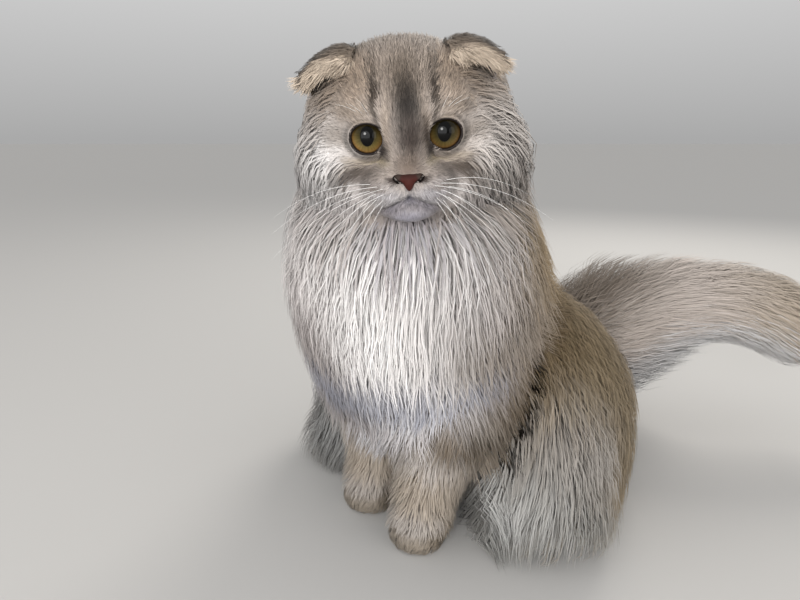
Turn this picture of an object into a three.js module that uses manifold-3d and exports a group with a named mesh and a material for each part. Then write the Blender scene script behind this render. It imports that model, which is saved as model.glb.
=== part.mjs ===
// A long-haired Scottish Fold cat that sits upright with its tail swept out to its left, life size.
// Units are millimetres. +Z is up, the face looks along -Y, and +X is the cat's left.
// The body sits turned away from the face. Its own frame reads (left, back, up) from a point on the
// floor between the forelegs, and the head's frame has the same directions from its middle.
import * as THREE from "three";
import { mergeVertices } from "three/addons/utils/BufferGeometryUtils.js";
import Module from "manifold-3d";

const wasm = await Module();
wasm.setup();

// Driving dimensions
const BODY_TURN = THREE.MathUtils.degToRad(-35);
const SEAT = new THREE.Vector3(-12.7, -80, 0);
const HEAD_CENTRE = new THREE.Vector3(3, -110, 296);
const HEAD_PITCH = THREE.MathUtils.degToRad(12);
const HEAD_ROLL = THREE.MathUtils.degToRad(-3.5);
const NECK_END = 0.2;
const TAIL_CUTS = [0.4, 0.7];
const GAP = 0.3;
const EYE_RADIUS = 10.3;
const EYE_SPREAD = 21.1;
const EYE_HEIGHT = 3.8;
const LID_THICKNESS = 1.7;
const EAR_THICKNESS = 2.6;
const FRONT_FOOT_SPREAD = 30;
const RIGHT_FOOT_BEHIND = 20;
const HIND_FOOT_SPREAD = 100;
const LOCK_THICKNESS = 4;
const LOCK_ROOT_SINK = 4;
const REACH = 900;

const bodyFrame = new THREE.Matrix4()
  .makeRotationZ(BODY_TURN)
  .setPosition(SEAT);
const headFrame = new THREE.Matrix4()
  .makeRotationFromEuler(new THREE.Euler(HEAD_PITCH, HEAD_ROLL, 0, "YXZ"))
  .setPosition(HEAD_CENTRE);

const vec = (x, y, z) => new THREE.Vector3(x, y, z);
const seat = (left, back, up) => vec(left, back, up).applyMatrix4(bodyFrame);
const clamp = THREE.MathUtils.clamp;
const radians = THREE.MathUtils.degToRad;

// Seeded draws, so that locks vary and every build is alike
function seeded(seed) {
  let state = seed >>> 0;
  return () => {
    state = (state + 0x6d2b79f5) >>> 0;
    let mixed = Math.imul(state ^ (state >>> 15), 1 | state);
    mixed = (mixed + Math.imul(mixed ^ (mixed >>> 7), 61 | mixed)) ^ mixed;
    return ((mixed ^ (mixed >>> 14)) >>> 0) / 4294967296;
  };
}

// Geometry and solids
function geometryOf(points, triangles) {
  const flat = new Float32Array(points.length * 3);
  points.forEach((point, i) => point.toArray(flat, i * 3));
  const geometry = new THREE.BufferGeometry();
  geometry.setAttribute("position", new THREE.BufferAttribute(flat, 3));
  geometry.setIndex(triangles.flat());
  return geometry;
}

function solidOf(geometry) {
  const bare = geometry.clone();
  for (const name of Object.keys(bare.attributes)) {
    if (name !== "position") bare.deleteAttribute(name);
  }
  const merged = mergeVertices(bare, 1e-4);
  const mesh = new wasm.Mesh({
    numProp: 3,
    vertProperties: new Float32Array(merged.attributes.position.array),
    triVerts: new Uint32Array(merged.index.array),
  });
  return new wasm.Manifold(mesh);
}

function mirrored(geometry) {
  const copy = geometry.clone().applyMatrix4(new THREE.Matrix4().makeScale(-1, 1, 1));
  const index = copy.index.array;
  for (let i = 0; i < index.length; i += 3) {
    [index[i + 1], index[i + 2]] = [index[i + 2], index[i + 1]];
  }
  return copy;
}

const joined = (solids) => solids.reduce((whole, next) => whole.add(next));

function largest(solid) {
  const bodies = solid.decompose();
  return bodies.reduce((best, next) => (next.volume() > best.volume() ? next : best));
}

function boxSolid(centre, size) {
  const geometry = new THREE.BoxGeometry(size.x, size.y, size.z);
  geometry.translate(centre.x, centre.y, centre.z);
  return solidOf(geometry);
}

// An ellipsoid in the head's frame or the world's, with its poles along Y
function ellipsoid(centre, radii, columns = 16, rows = 10) {
  const geometry = new THREE.SphereGeometry(1, columns, rows);
  geometry.scale(radii.x, radii.y, radii.z);
  geometry.translate(centre.x, centre.y, centre.z);
  return geometry;
}

// A tube through stations of centre, half width and half depth, closed by a dome at each end.
// Angle 0 is the tube's side and 90 degrees its back, and t runs from 0 to 1 along it.
class Limb {
  constructor(stations, side) {
    this.side = side;
    this.path = new THREE.CatmullRomCurve3(stations.map((s) => s.at));
    this.radii = new THREE.CatmullRomCurve3(stations.map((s) => vec(s.wide, s.deep, 0)));
    this.length = this.path.getLength();
  }

  frameAt(t) {
    const inside = clamp(t, 0, 1);
    const along = this.path.getTangent(inside);
    const side = this.side.clone().addScaledVector(along, -this.side.dot(along)).normalize();
    const back = new THREE.Vector3().crossVectors(side, along);
    const beyond = (t - inside) * this.length;
    const radii = this.radii.getPoint(inside).multiplyScalar(Math.max(0.2, 1 - Math.abs(beyond) / 70));
    const centre = this.path.getPoint(inside).addScaledVector(along, beyond);
    return { along, side, back, centre, wide: radii.x, deep: radii.y };
  }

  normalAt(t, angle) {
    const { side, back, wide, deep } = this.frameAt(t);
    return side
      .clone()
      .multiplyScalar(Math.cos(angle) / wide)
      .addScaledVector(back, Math.sin(angle) / deep)
      .normalize();
  }

  pointAt(t, angle, lift = 0) {
    const { side, back, centre, wide, deep } = this.frameAt(t);
    return centre
      .addScaledVector(side, Math.cos(angle) * wide)
      .addScaledVector(back, Math.sin(angle) * deep)
      .addScaledVector(this.normalAt(t, angle), lift);
  }

  // How far a point is from the axis, as a share of the radius there
  shareAt(point) {
    let best = Infinity;
    for (let i = 0; i <= 24; i++) {
      const { along, side, back, centre, wide, deep } = this.frameAt(i / 24);
      const from = point.clone().sub(centre);
      const share = Math.hypot(from.dot(side) / wide, from.dot(back) / deep, from.dot(along) / 18);
      best = Math.min(best, share);
    }
    return best;
  }

  geometry(rings, sides, grow = 0, domes = [0.8, 0.8]) {
    const points = [];
    const addRing = (t, shrink, advance) => {
      const { along, side, back, centre, wide, deep } = this.frameAt(t);
      for (let j = 0; j < sides; j++) {
        const angle = (j / sides) * 2 * Math.PI;
        points.push(
          centre
            .clone()
            .addScaledVector(along, advance)
            .addScaledVector(side, Math.cos(angle) * (wide + grow) * shrink)
            .addScaledVector(back, Math.sin(angle) * (deep + grow) * shrink),
        );
      }
    };
    const domeOf = (t, share) => {
      const { wide, deep } = this.frameAt(t);
      return Math.min(wide, deep) * share + grow;
    };
    const [startDome, endDome] = [domeOf(0, domes[0]), domeOf(1, domes[1])];
    addRing(0, Math.cos(radians(50)), -startDome * Math.sin(radians(50)));
    for (let i = 0; i <= rings; i++) addRing(i / rings, 1, 0);
    addRing(1, Math.cos(radians(50)), endDome * Math.sin(radians(50)));
    const ringCount = rings + 3;
    const first = points.length;
    const start = this.frameAt(0);
    const end = this.frameAt(1);
    points.push(start.centre.clone().addScaledVector(start.along, -startDome));
    points.push(end.centre.clone().addScaledVector(end.along, endDome));
    const triangles = [];
    for (let j = 0; j < sides; j++) {
      const next = (j + 1) % sides;
      triangles.push([first, j, next]);
      for (let i = 0; i < ringCount - 1; i++) {
        const [here, there] = [i * sides, (i + 1) * sides];
        triangles.push([here + j, there + j, here + next]);
        triangles.push([there + j, there + next, here + next]);
      }
      const last = (ringCount - 1) * sides;
      triangles.push([first + 1, last + next, last + j]);
    }
    return geometryOf(points, triangles);
  }
}

// The body's own stations read (left, back, up, half width, half depth)
const stationsOf = (rows) =>
  rows.map(([left, back, up, wide, deep]) => ({ at: seat(left, back, up), wide, deep }));
const bodySide = vec(1, 0, 0).transformDirection(bodyFrame);

// Trunk: neck, chest, back and rump on one bent axis, later parted at the neck
const trunk = new Limb(
  stationsOf([
    [27, -6, 276, 38, 40],
    [20, 2, 248, 50, 52],
    [8, 20, 210, 66, 62],
    [0, 46, 168, 74, 74],
    [0, 80, 130, 72, 76],
    [0, 122, 104, 72, 73],
    [0, 162, 72, 68, 66],
    [0, 198, 52, 50, 50],
  ]),
  bodySide,
);

// Legs: sign is +1 on the cat's left
function foreleg(sign) {
  const behind = sign < 0 ? RIGHT_FOOT_BEHIND : 0;
  const out = sign * FRONT_FOOT_SPREAD;
  return new Limb(
    stationsOf([
      [sign * 37, 52, 150, 26, 33],
      [sign * 41, 47 + behind * 0.2, 122, 28, 35],
      [sign * 37, 40 + behind * 0.4, 92, 25, 29],
      [out * 1.05, 26 + behind * 0.8, 62, 20.5, 23],
      [out, 14 + behind, 38, 18, 19.5],
      [out, 7 + behind, 22, 17, 18],
    ]),
    bodySide,
  );
}

function haunch(sign) {
  return new Limb(
    stationsOf([
      [sign * 46, 154, 140, 24, 36],
      [sign * 64, 146, 116, 37, 57],
      [sign * 77, 136, 87, 44, 69],
      [sign * 84, 126, 57, 44, 68],
      [sign * 88, 118, 28, 37, 58],
      [sign * 90, 112, 9, 29, 46],
    ]),
    bodySide,
  );
}

function hindFoot(sign) {
  const out = sign * HIND_FOOT_SPREAD;
  return new Limb(
    stationsOf([
      [out - sign * 7, 160, 17, 14, 14],
      [out - sign * 4, 130, 14, 15, 13],
      [out, 102, 13, 16, 13],
    ]),
    vec(0, 0, 1),
  );
}

const tail = new Limb(
  [
    [104, 86, 54, 25, 25],
    [150, 112, 64, 26, 26],
    [200, 118, 90, 27, 27],
    [250, 110, 118, 27, 27],
    [300, 98, 134, 27, 27],
    [345, 86, 131, 25, 25],
    [385, 76, 112, 20, 20],
  ].map(([x, y, z, wide, deep]) => ({ at: vec(x, y, z), wide, deep })),
  vec(0, -1, 0),
);

// Locks of the long coat. A lock is a flat tapered blade of three faces: it leaves the surface along
// the lie of the hair, with its root sunk in, and lifts as it goes, so that it covers the next row.
const LOCK_RINGS = 3;
const taperAt = (share) => (0.74 + 0.9 * share) * (1 - share ** 2);

function lock(form, { t, angle, half, reach, drift, lift }, grow) {
  const points = [];
  const triangles = [];
  const curl = (share) => angle + drift * share ** 1.5;
  for (let i = 0; i < LOCK_RINGS; i++) {
    const share = [0, 0.36, 0.74][i];
    const [along, turn] = [t + reach * share, curl(share)];
    const height = (LOCK_ROOT_SINK + lift) * (1 - (1 - share) ** 1.6) - LOCK_ROOT_SINK;
    const spread = half * taperAt(share);
    const left = form.pointAt(along, turn - spread, height);
    const right = form.pointAt(along, turn + spread, height);
    const ridge = form.pointAt(along, turn, height + LOCK_THICKNESS * (1 - share * 0.4));
    const across = right.clone().sub(left).normalize();
    const up = ridge.clone().sub(form.pointAt(along, turn, height)).normalize();
    points.push(left.addScaledVector(across, -6 * grow).addScaledVector(up, -0.8 * grow));
    points.push(right.addScaledVector(across, 6 * grow).addScaledVector(up, -0.8 * grow));
    points.push(ridge.addScaledVector(up, 1.2 * grow));
  }
  const tip = points.push(form.pointAt(t + reach + (4 * grow) / form.length, curl(1), lift)) - 1;
  triangles.push([0, 1, 2]);
  for (let i = 0; i < LOCK_RINGS - 1; i++) {
    for (const [a, b] of [
      [0, 1],
      [1, 2],
      [2, 0],
    ]) {
      const [here, there] = [i * 3, i * 3 + 3];
      triangles.push([here + a, there + a, there + b], [here + a, there + b, here + b]);
    }
  }
  const last = (LOCK_RINGS - 1) * 3;
  triangles.push([last, tip, last + 1], [last + 1, tip, last + 2], [last + 2, tip, last]);
  return outward(geometryOf(points, triangles));
}

// Turns a closed surface to face outward
function outward(geometry) {
  const [position, index] = [geometry.attributes.position, geometry.index.array];
  const corner = (i) => new THREE.Vector3().fromBufferAttribute(position, index[i]);
  let volume = 0;
  for (let i = 0; i < index.length; i += 3) {
    volume += corner(i).dot(corner(i + 1).cross(corner(i + 2)));
  }
  if (volume > 0) return geometry;
  for (let i = 0; i < index.length; i += 3) [index[i + 1], index[i + 2]] = [index[i + 2], index[i + 1]];
  return geometry;
}

// Rows of locks, each given as where it is, how many, how long and how far the tips lift. Every
// second row is turned by half a lock, and each lock differs a little from its neighbours.
function lockRows(form, rows, keep, seed) {
  const random = seeded(seed);
  const vary = (share) => 1 + share * (2 * random() - 1);
  const locks = [];
  rows.forEach(([t, count, length, lift], row) => {
    for (let k = 0; k < count; k++) {
      const angle = ((k + (row % 2) / 2) / count) * 2 * Math.PI;
      const made = {
        t: t + (0.05 * (2 * random() - 1) * length) / form.length,
        angle: angle + (0.06 * (2 * random() - 1) * Math.PI) / count,
        half: (Math.PI / count) * 0.95 * vary(0.06),
        reach: (length * vary(0.16)) / form.length,
        drift: (0.25 * (2 * random() - 1) * Math.PI) / count,
        lift: (typeof lift === "function" ? lift(angle) : lift) * vary(0.2),
      };
      const middle = form.pointAt(made.t + made.reach * 0.6, angle, made.lift * 0.5);
      if (keep(form.pointAt(made.t, angle), middle, angle)) {
        locks.push(made);
      }
    }
  });
  return locks;
}
const locksOf = (form, locks, grow) => locks.map((each) => lock(form, each, grow));

// Head: rounded masses blended together, in the head's own frame
const headMasses = [
  { at: [0, 10, 12], radii: [49, 50, 38] },
  { at: [27, -6, -8], radii: [31, 33, 31], twin: true },
  { at: [16, -28, 17], radii: [17, 15, 11], twin: true },
  { at: [0, -36, 3], radii: [9.5, 12, 12] },
  { at: [0, -46, -9], radii: [8.5, 11, 10] },
  { at: [10, -45, -22], radii: [12.5, 12, 8.5], twin: true },
  { at: [0, -43, -34], radii: [11.5, 10, 6.5] },
  { at: [17, -22, -30], radii: [18, 20, 13], twin: true },
];
const BLEND = 5;

function headDistance(point) {
  let sum = 0;
  for (const { at, radii, twin } of headMasses) {
    for (const flip of twin ? [1, -1] : [1]) {
      const [x, y, z] = [point.x - flip * at[0], point.y - at[1], point.z - at[2]];
      const near = Math.hypot(x / radii[0], y / radii[1], z / radii[2]);
      const slope = Math.hypot(x / radii[0] ** 2, y / radii[1] ** 2, z / radii[2] ** 2);
      sum += Math.exp(-(near * (near - 1)) / Math.max(slope, 1e-6) / BLEND);
    }
  }
  return -BLEND * Math.log(sum);
}

function headRadius(direction, grow = 0) {
  let [near, far] = [20, 110];
  for (let step = 0; step < 30; step++) {
    const middle = (near + far) / 2;
    if (headDistance(direction.clone().multiplyScalar(middle)) < grow) near = middle;
    else far = middle;
  }
  return near;
}

// The skin's place straight behind a point of the face, seen from the front
function faceAt(x, z, lift = 0) {
  let [near, far] = [-90, 0];
  for (let step = 0; step < 30; step++) {
    const middle = (near + far) / 2;
    if (headDistance(vec(x, middle, z)) < lift) far = middle;
    else near = middle;
  }
  return vec(x, near, z);
}

// The head as a globe about the face's axis: t runs from the face to the nape, and angle 0 is the
// cat's left and 90 degrees the crown
const headGlobe = {
  axis: vec(0, -1, -0.3).normalize(),
  side: vec(1, 0, 0),
  up: vec(0, -0.3, 1).normalize(),
  length: 230,

  directionAt(t, angle) {
    const polar = Math.PI * t;
    return this.axis
      .clone()
      .multiplyScalar(Math.cos(polar))
      .addScaledVector(this.side, Math.sin(polar) * Math.cos(angle))
      .addScaledVector(this.up, Math.sin(polar) * Math.sin(angle));
  },

  pointAt(t, angle, lift = 0) {
    const direction = this.directionAt(t, angle);
    return direction.clone().multiplyScalar(headRadius(direction) + lift);
  },

  // Rings lie closer together at the face
  geometry(rings, columns, grow) {
    const points = [];
    for (let i = 1; i < rings; i++) {
      const share = i / rings;
      for (let j = 0; j < columns; j++) {
        const direction = this.directionAt(0.62 * share + 0.38 * share ** 3, (j / columns) * 2 * Math.PI);
        points.push(direction.clone().multiplyScalar(headRadius(direction, grow)));
      }
    }
    const face = points.push(this.axis.clone().multiplyScalar(headRadius(this.axis, grow))) - 1;
    const behind = this.axis.clone().negate();
    const nape = points.push(behind.clone().multiplyScalar(headRadius(behind, grow))) - 1;
    const triangles = [];
    for (let j = 0; j < columns; j++) {
      const next = (j + 1) % columns;
      triangles.push([face, j, next]);
      for (let i = 0; i < rings - 2; i++) {
        const [here, there] = [i * columns, (i + 1) * columns];
        triangles.push([here + j, there + j, there + next]);
        triangles.push([here + j, there + next, here + next]);
      }
      const last = (rings - 2) * columns;
      triangles.push([nape, last + next, last + j]);
    }
    return geometryOf(points, triangles);
  },
};

// Eyes, lids, nose and mouth, in the head's own frame
const eyeCentre = (sign) => vec(sign * EYE_SPREAD, -33.5, EYE_HEIGHT);
const lidOpening = { half: 9.6, tall: 8.2, tilt: radians(9) };

function eyeball(sign, grow) {
  const radius = EYE_RADIUS + grow;
  return ellipsoid(eyeCentre(sign), vec(radius, radius, radius), 14, 10);
}

function lidShell(sign, grow) {
  const radius = EYE_RADIUS + GAP + LID_THICKNESS + grow;
  return ellipsoid(eyeCentre(sign), vec(radius, radius, radius), 16, 10);
}

// The opening between the lids: an upright oval prism, its outer corner a little higher
function lidSlot(sign) {
  const outline = new THREE.Shape();
  outline.absellipse(0, 0, lidOpening.half, lidOpening.tall, 0, 2 * Math.PI, false, 0);
  const prism = new THREE.ExtrudeGeometry(outline, {
    depth: 30,
    bevelEnabled: false,
    curveSegments: 12,
  });
  prism.rotateX(Math.PI / 2);
  prism.rotateY(-sign * lidOpening.tilt);
  const centre = eyeCentre(sign);
  prism.translate(centre.x, centre.y, centre.z);
  return prism;
}

// The nose leather: a rounded triangle, point down, that leans back at the top
function nosePad(grow) {
  const [half, top, bottom] = [6 + grow, 3.6 + grow, -3.9 - grow];
  const outline = new THREE.Shape();
  outline.moveTo(-half, top * 0.5);
  outline.quadraticCurveTo(-half * 0.8, top * 1.15, 0, top);
  outline.quadraticCurveTo(half * 0.8, top * 1.15, half, top * 0.5);
  outline.quadraticCurveTo(half * 0.4, bottom * 0.35, 0.9, bottom);
  outline.lineTo(-0.9, bottom);
  outline.quadraticCurveTo(-half * 0.4, bottom * 0.35, -half, top * 0.5);
  const pad = new THREE.ExtrudeGeometry(outline, {
    depth: 9 + grow,
    bevelEnabled: true,
    bevelThickness: 1.3,
    bevelSize: 0.8,
    bevelSegments: 1,
    curveSegments: 3,
  });
  pad.rotateX(Math.PI / 2 + radians(-10));
  pad.translate(0, -50.6, -17);
  return pad;
}

function nostril(sign) {
  const hole = ellipsoid(vec(0, 0, 0), vec(2.2, 2.6, 0.9), 10, 8);
  hole.rotateY(-sign * radians(35));
  hole.translate(sign * 4, -61.5, -17);
  return hole;
}

// A groove along points of the face, cut by a thin tube
function groove(points, radius) {
  const path = new THREE.CatmullRomCurve3(points.map(([x, z]) => faceAt(x, z, 0.2)));
  const round = new THREE.Shape();
  round.absarc(0, 0, radius, 0, 2 * Math.PI, false);
  return new THREE.ExtrudeGeometry(round, { steps: 8, curveSegments: 2, extrudePath: path });
}
const philtrum = [
  [0, -19],
  [0, -23],
  [0, -26.5],
];
const lipLine = (sign) => [
  [0, -25.7],
  [sign * 5, -27.4],
  [sign * 10, -30.2],
  [sign * 15, -33.2],
  [sign * 18.5, -36],
];

// An ear folded forward: a bent sheet from the skull up to the crest, turned over there, that ends
// in a free margin with the cup open below it. Each row runs from the crown out to the ear's tip.
const earBase = [
  [22, 5, 42],
  [33, 12, 37],
  [44, 13, 26],
  [50, 6, 17],
  [48, -4, 14],
];
const earCrest = [
  [26, -1, 50],
  [35, 1, 51.5],
  [45, 1, 48.5],
  [52, -2, 44],
  [58, -7, 38.5],
];
const earMargin = [
  [28, -8, 41],
  [35, -13, 43.5],
  [43, -15, 41.5],
  [50, -14, 38],
  [58, -9, 37],
];
const EAR_BULGE = 3.5;
const EAR_DROOP = 4;

function foldedEar(grow, droop) {
  const across = (rows, u) => {
    const curve = new THREE.CatmullRomCurve3(rows.map(([x, y, z]) => vec(x, y, z)));
    return curve.getPoint(u);
  };
  const [columns, rows] = [7, 8];
  const middle = (u, v) => {
    const [base, crest, margin] = [earBase, earCrest, earMargin].map((row) => across(row, u));
    const swell = base.clone().lerp(crest, 0.55).add(vec(0.6, 1, 0.3).multiplyScalar(EAR_BULGE));
    const fold = crest.clone().lerp(margin, 0.5).add(vec(0.2, -0.6, 0.8).multiplyScalar(2.6));
    const bend = new THREE.CatmullRomCurve3([base, swell, crest, fold, margin]);
    const point = bend.getPoint(v);
    point.z -= (droop * (point.x - 24)) / 34;
    return point;
  };
  const normal = (u, v) => {
    const [left, right] = [Math.max(u - 0.02, 0), Math.min(u + 0.02, 1)];
    const [low, high] = [Math.max(v - 0.02, 0), Math.min(v + 0.02, 1)];
    const du = middle(right, v).sub(middle(left, v));
    const dv = middle(u, high).sub(middle(u, low));
    return new THREE.Vector3().crossVectors(du, dv).normalize();
  };
  const half = EAR_THICKNESS / 2 + grow;
  const points = [];
  for (const face of [1, -1]) {
    for (let i = 0; i <= rows; i++) {
      for (let j = 0; j <= columns; j++) {
        const [u, v] = [j / columns, i / rows];
        points.push(middle(u, v).addScaledVector(normal(u, v), face * half));
      }
    }
  }
  const inner = (rows + 1) * (columns + 1);
  const id = (i, j) => i * (columns + 1) + j;
  const triangles = [];
  for (let i = 0; i < rows; i++) {
    for (let j = 0; j < columns; j++) {
      const [a, b, c, d] = [id(i, j), id(i, j + 1), id(i + 1, j), id(i + 1, j + 1)];
      triangles.push([a, b, c], [b, d, c]);
      triangles.push([inner + a, inner + c, inner + b], [inner + b, inner + c, inner + d]);
    }
  }
  const wall = (from, to) => {
    triangles.push([from, inner + from, to], [to, inner + from, inner + to]);
  };
  for (let j = 0; j < columns; j++) {
    wall(id(0, j), id(0, j + 1));
    wall(id(rows, j + 1), id(rows, j));
  }
  for (let i = 0; i < rows; i++) {
    wall(id(i + 1, 0), id(i, 0));
    wall(id(i, columns), id(i + 1, columns));
  }
  return geometryOf(points, triangles);
}

// Paws: a pad of the foot and four toes, in the body's frame
function paw(centreLeft, toeBack, grow) {
  const toeLength = 11;
  const pieces = [];
  const add = (left, back, up, wide, long, tall) => {
    const toe = ellipsoid(vec(0, 0, 0), vec(wide + grow, long + grow, tall + grow), 8, 5);
    toe.translate(left, back, up);
    toe.applyMatrix4(bodyFrame);
    pieces.push(solidOf(toe));
  };
  add(centreLeft, toeBack + 22, 11, 16.5, 20, 13);
  for (const [offset, forward] of [
    [-11.5, 4],
    [-4, 0],
    [4, 0],
    [11.5, 4],
  ]) {
    add(centreLeft + offset, toeBack + toeLength + forward, 7.5, 5.6, toeLength, 8.4);
  }
  return joined(pieces);
}

// The long hind foot ends in a paw; what is cut clear of it is cut by one plain form around it
function hindPaw(sign, foot, grow) {
  if (grow === 0) return paw(sign * HIND_FOOT_SPREAD, 66, 0).add(solidOf(foot.geometry(3, 9, 0)));
  const around = ellipsoid(vec(0, 0, 0), vec(20, 25, 17.5), 8, 6);
  around.translate(sign * HIND_FOOT_SPREAD, 86, 9);
  around.applyMatrix4(bodyFrame);
  return solidOf(around).add(solidOf(foot.geometry(2, 7, 2)));
}

// Every node: a function of how much to grow, so that a neighbour can be cut clear of it
const ground = boxSolid(vec(0, 0, REACH / 2), vec(2 * REACH, 2 * REACH, REACH));
const onGround = (solid) => solid.intersect(ground);
const inHead = (geometry) => solidOf(geometry.clone().applyMatrix4(headFrame));

// A half space beyond a limb's cross section at t, on the far side or the near side
function beyond(limb, t, grow, far) {
  const { along, centre } = limb.frameAt(t);
  const way = along.clone().multiplyScalar(far ? 1 : -1);
  const turn = new THREE.Quaternion().setFromUnitVectors(vec(0, 0, 1), way);
  const block = new THREE.BoxGeometry(REACH, REACH, REACH);
  block.translate(0, 0, REACH / 2 - grow);
  block.applyQuaternion(turn);
  block.translate(centre.x, centre.y, centre.z);
  return solidOf(block);
}

const legsLeft = { fore: foreleg(1), haunch: haunch(1), foot: hindFoot(1) };
const legsRight = { fore: foreleg(-1), haunch: haunch(-1), foot: hindFoot(-1) };

// Where the locks grow
const worldToHead = headFrame.clone().invert();
const inForm = (form, point, share = 1) => form.shareAt(point) < share;
const inSkull = (point) => headDistance(point.clone().applyMatrix4(worldToHead)) < 0;

const cheekLocks = lockRows(
  headGlobe,
  [[0.42, 20, 40, 13], [0.53, 18, 50, 20]],
  (root, middle, angle) => Math.sin(angle) < 0.42 && Math.sin(angle) > -0.93,
  11,
);
const ruffLocks = lockRows(
  trunk,
  [[0.02, 12, 50, 17], [0.11, 13, 56, 19], [0.2, 13, 58, 18]],
  (root, middle) => !inSkull(middle),
  12,
);
const trunkLocks = lockRows(
  trunk,
  [
    [0.31, 13, 60, 17],
    [0.43, 13, 62, 16],
    [0.56, 13, 62, 15],
    [0.7, 12, 62, 14],
    [0.84, 10, 54, 13],
    [0.97, 7, 44, 12],
  ],
  (root, middle) =>
    middle.z > 24 &&
    !inForm(legsLeft.haunch, middle, 1.2) &&
    !inForm(legsRight.haunch, middle, 1.2) &&
    !inForm(legsLeft.fore, middle, 1.15) &&
    !inForm(legsRight.fore, middle, 1.15),
  13,
);
const haunchLift = (angle) => 15 + 8 * Math.max(0, -Math.sin(angle));
const haunchLocks = (form, sign) =>
  lockRows(
    form,
    [
      [0.04, 9, 54, 13],
      [0.26, 10, 56, haunchLift],
      [0.48, 10, 54, haunchLift],
      [0.68, 10, 38, haunchLift],
    ],
    (root, middle, angle) => sign * Math.cos(angle) > -0.35 && !inForm(trunk, middle, 1.1),
    14 + sign,
  );
const elbowLocks = (form, sign) =>
  lockRows(
    form,
    [[0.1, 7, 46, 15], [0.34, 7, 42, 13], [0.56, 7, 32, 6]],
    (root, middle, angle) =>
      (Math.sin(angle) > 0.3 || sign * Math.cos(angle) > 0.4) && !inForm(trunk, root, 1.1),
    18 + sign,
  );
const plume = (more) => (angle) => 18 + more * Math.abs(Math.sin(angle));
const tailLocks = lockRows(
  tail,
  [
    [0.03, 8, 66, plume(14)],
    [0.17, 8, 68, plume(12)],
    ...[0.31, 0.45, 0.59, 0.73, 0.87].map((t) => [t, 8, 68, 18]),
    [0.97, 5, 62, 13],
  ],
  (root) => !inForm(trunk, root, 1),
  21,
);
const between = (locks, from, to) => locks.filter((each) => each.t >= from && each.t < to);
const coated = (core, form, locks, grow) =>
  joined([core, ...locksOf(form, locks, grow).map(solidOf)]);
const hairs = {
  left: { haunch: haunchLocks(legsLeft.haunch, 1), fore: elbowLocks(legsLeft.fore, 1) },
  right: { haunch: haunchLocks(legsRight.haunch, -1), fore: elbowLocks(legsRight.fore, -1) },
};
const tailPart = (from, to, grow) => {
  let core = solidOf(tail.geometry(10, 10, grow));
  if (from > 0) core = core.intersect(beyond(tail, from, grow, true));
  if (to < 1) core = core.intersect(beyond(tail, to, grow, false));
  return coated(core, tail, between(tailLocks, from, to < 1 ? to : 2), grow);
};

const nodes = [
  ["eye_left", (grow) => inHead(eyeball(1, grow))],
  ["eye_right", (grow) => inHead(eyeball(-1, grow))],
  [
    "nose",
    (grow) =>
      grow > 0
        ? inHead(nosePad(grow))
        : inHead(nosePad(0)).subtract(inHead(nostril(1))).subtract(inHead(nostril(-1))),
  ],
  [
    "head",
    (grow) => {
      const skull = joined([
        inHead(grow > 0 ? headGlobe.geometry(16, 24, grow + 1) : headGlobe.geometry(22, 34, 0)),
        inHead(lidShell(1, grow)),
        inHead(lidShell(-1, grow)),
        ...locksOf(headGlobe, cheekLocks, grow).map(inHead),
      ]);
      if (grow > 0) return skull;
      return skull
        .subtract(inHead(lidSlot(1)))
        .subtract(inHead(lidSlot(-1)))
        .subtract(inHead(groove(philtrum, 0.9)))
        .subtract(inHead(groove(lipLine(1), 1.1)))
        .subtract(inHead(groove(lipLine(-1), 1.1)));
    },
  ],
  ["ear_left", (grow) => inHead(foldedEar(grow, 0))],
  ["ear_right", (grow) => inHead(mirrored(foldedEar(grow, EAR_DROOP)))],
  [
    "neck",
    (grow) => {
      const core = solidOf(trunk.geometry(10, 14, grow)).intersect(beyond(trunk, NECK_END, grow, false));
      return coated(core, trunk, ruffLocks, grow);
    },
  ],
  [
    "torso",
    (grow) => {
      const core = solidOf(trunk.geometry(10, 14, grow)).intersect(beyond(trunk, NECK_END, grow, true));
      return coated(core, trunk, trunkLocks, grow);
    },
  ],
  ["forepaw_left", (grow) => paw(FRONT_FOOT_SPREAD, -16, grow)],
  ["forepaw_right", (grow) => paw(-FRONT_FOOT_SPREAD, -16 + RIGHT_FOOT_BEHIND, grow)],
  [
    "foreleg_left",
    (grow) => coated(solidOf(legsLeft.fore.geometry(7, 10, grow)), legsLeft.fore, hairs.left.fore, grow),
  ],
  [
    "foreleg_right",
    (grow) => coated(solidOf(legsRight.fore.geometry(7, 10, grow)), legsRight.fore, hairs.right.fore, grow),
  ],
  ["hindpaw_left", (grow) => hindPaw(1, legsLeft.foot, grow)],
  ["hindpaw_right", (grow) => hindPaw(-1, legsRight.foot, grow)],
  [
    "hindleg_left",
    (grow) => {
      const core = solidOf(legsLeft.haunch.geometry(6, 12, grow));
      return coated(core, legsLeft.haunch, hairs.left.haunch, grow);
    },
  ],
  [
    "hindleg_right",
    (grow) => {
      const core = solidOf(legsRight.haunch.geometry(6, 12, grow));
      return coated(core, legsRight.haunch, hairs.right.haunch, grow);
    },
  ],
  ["tail_base", (grow) => tailPart(0, TAIL_CUTS[0], grow)],
  ["tail_middle", (grow) => tailPart(TAIL_CUTS[0], TAIL_CUTS[1], grow)],
  ["tail_tip", (grow) => tailPart(TAIL_CUTS[1], 1, grow)],
];

// Each node is cut clear of those before it and keeps its largest closed body
const built = [];
const swollen = [];
for (const [name, make] of nodes) {
  let solid = onGround(make(0));
  for (const neighbour of [...swollen, ...built.map((each) => each[1])]) {
    if (solid.intersect(neighbour).volume() > 0) solid = solid.subtract(neighbour);
  }
  built.push([name, largest(solid)]);
  swollen.push(make(GAP));
}

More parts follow.
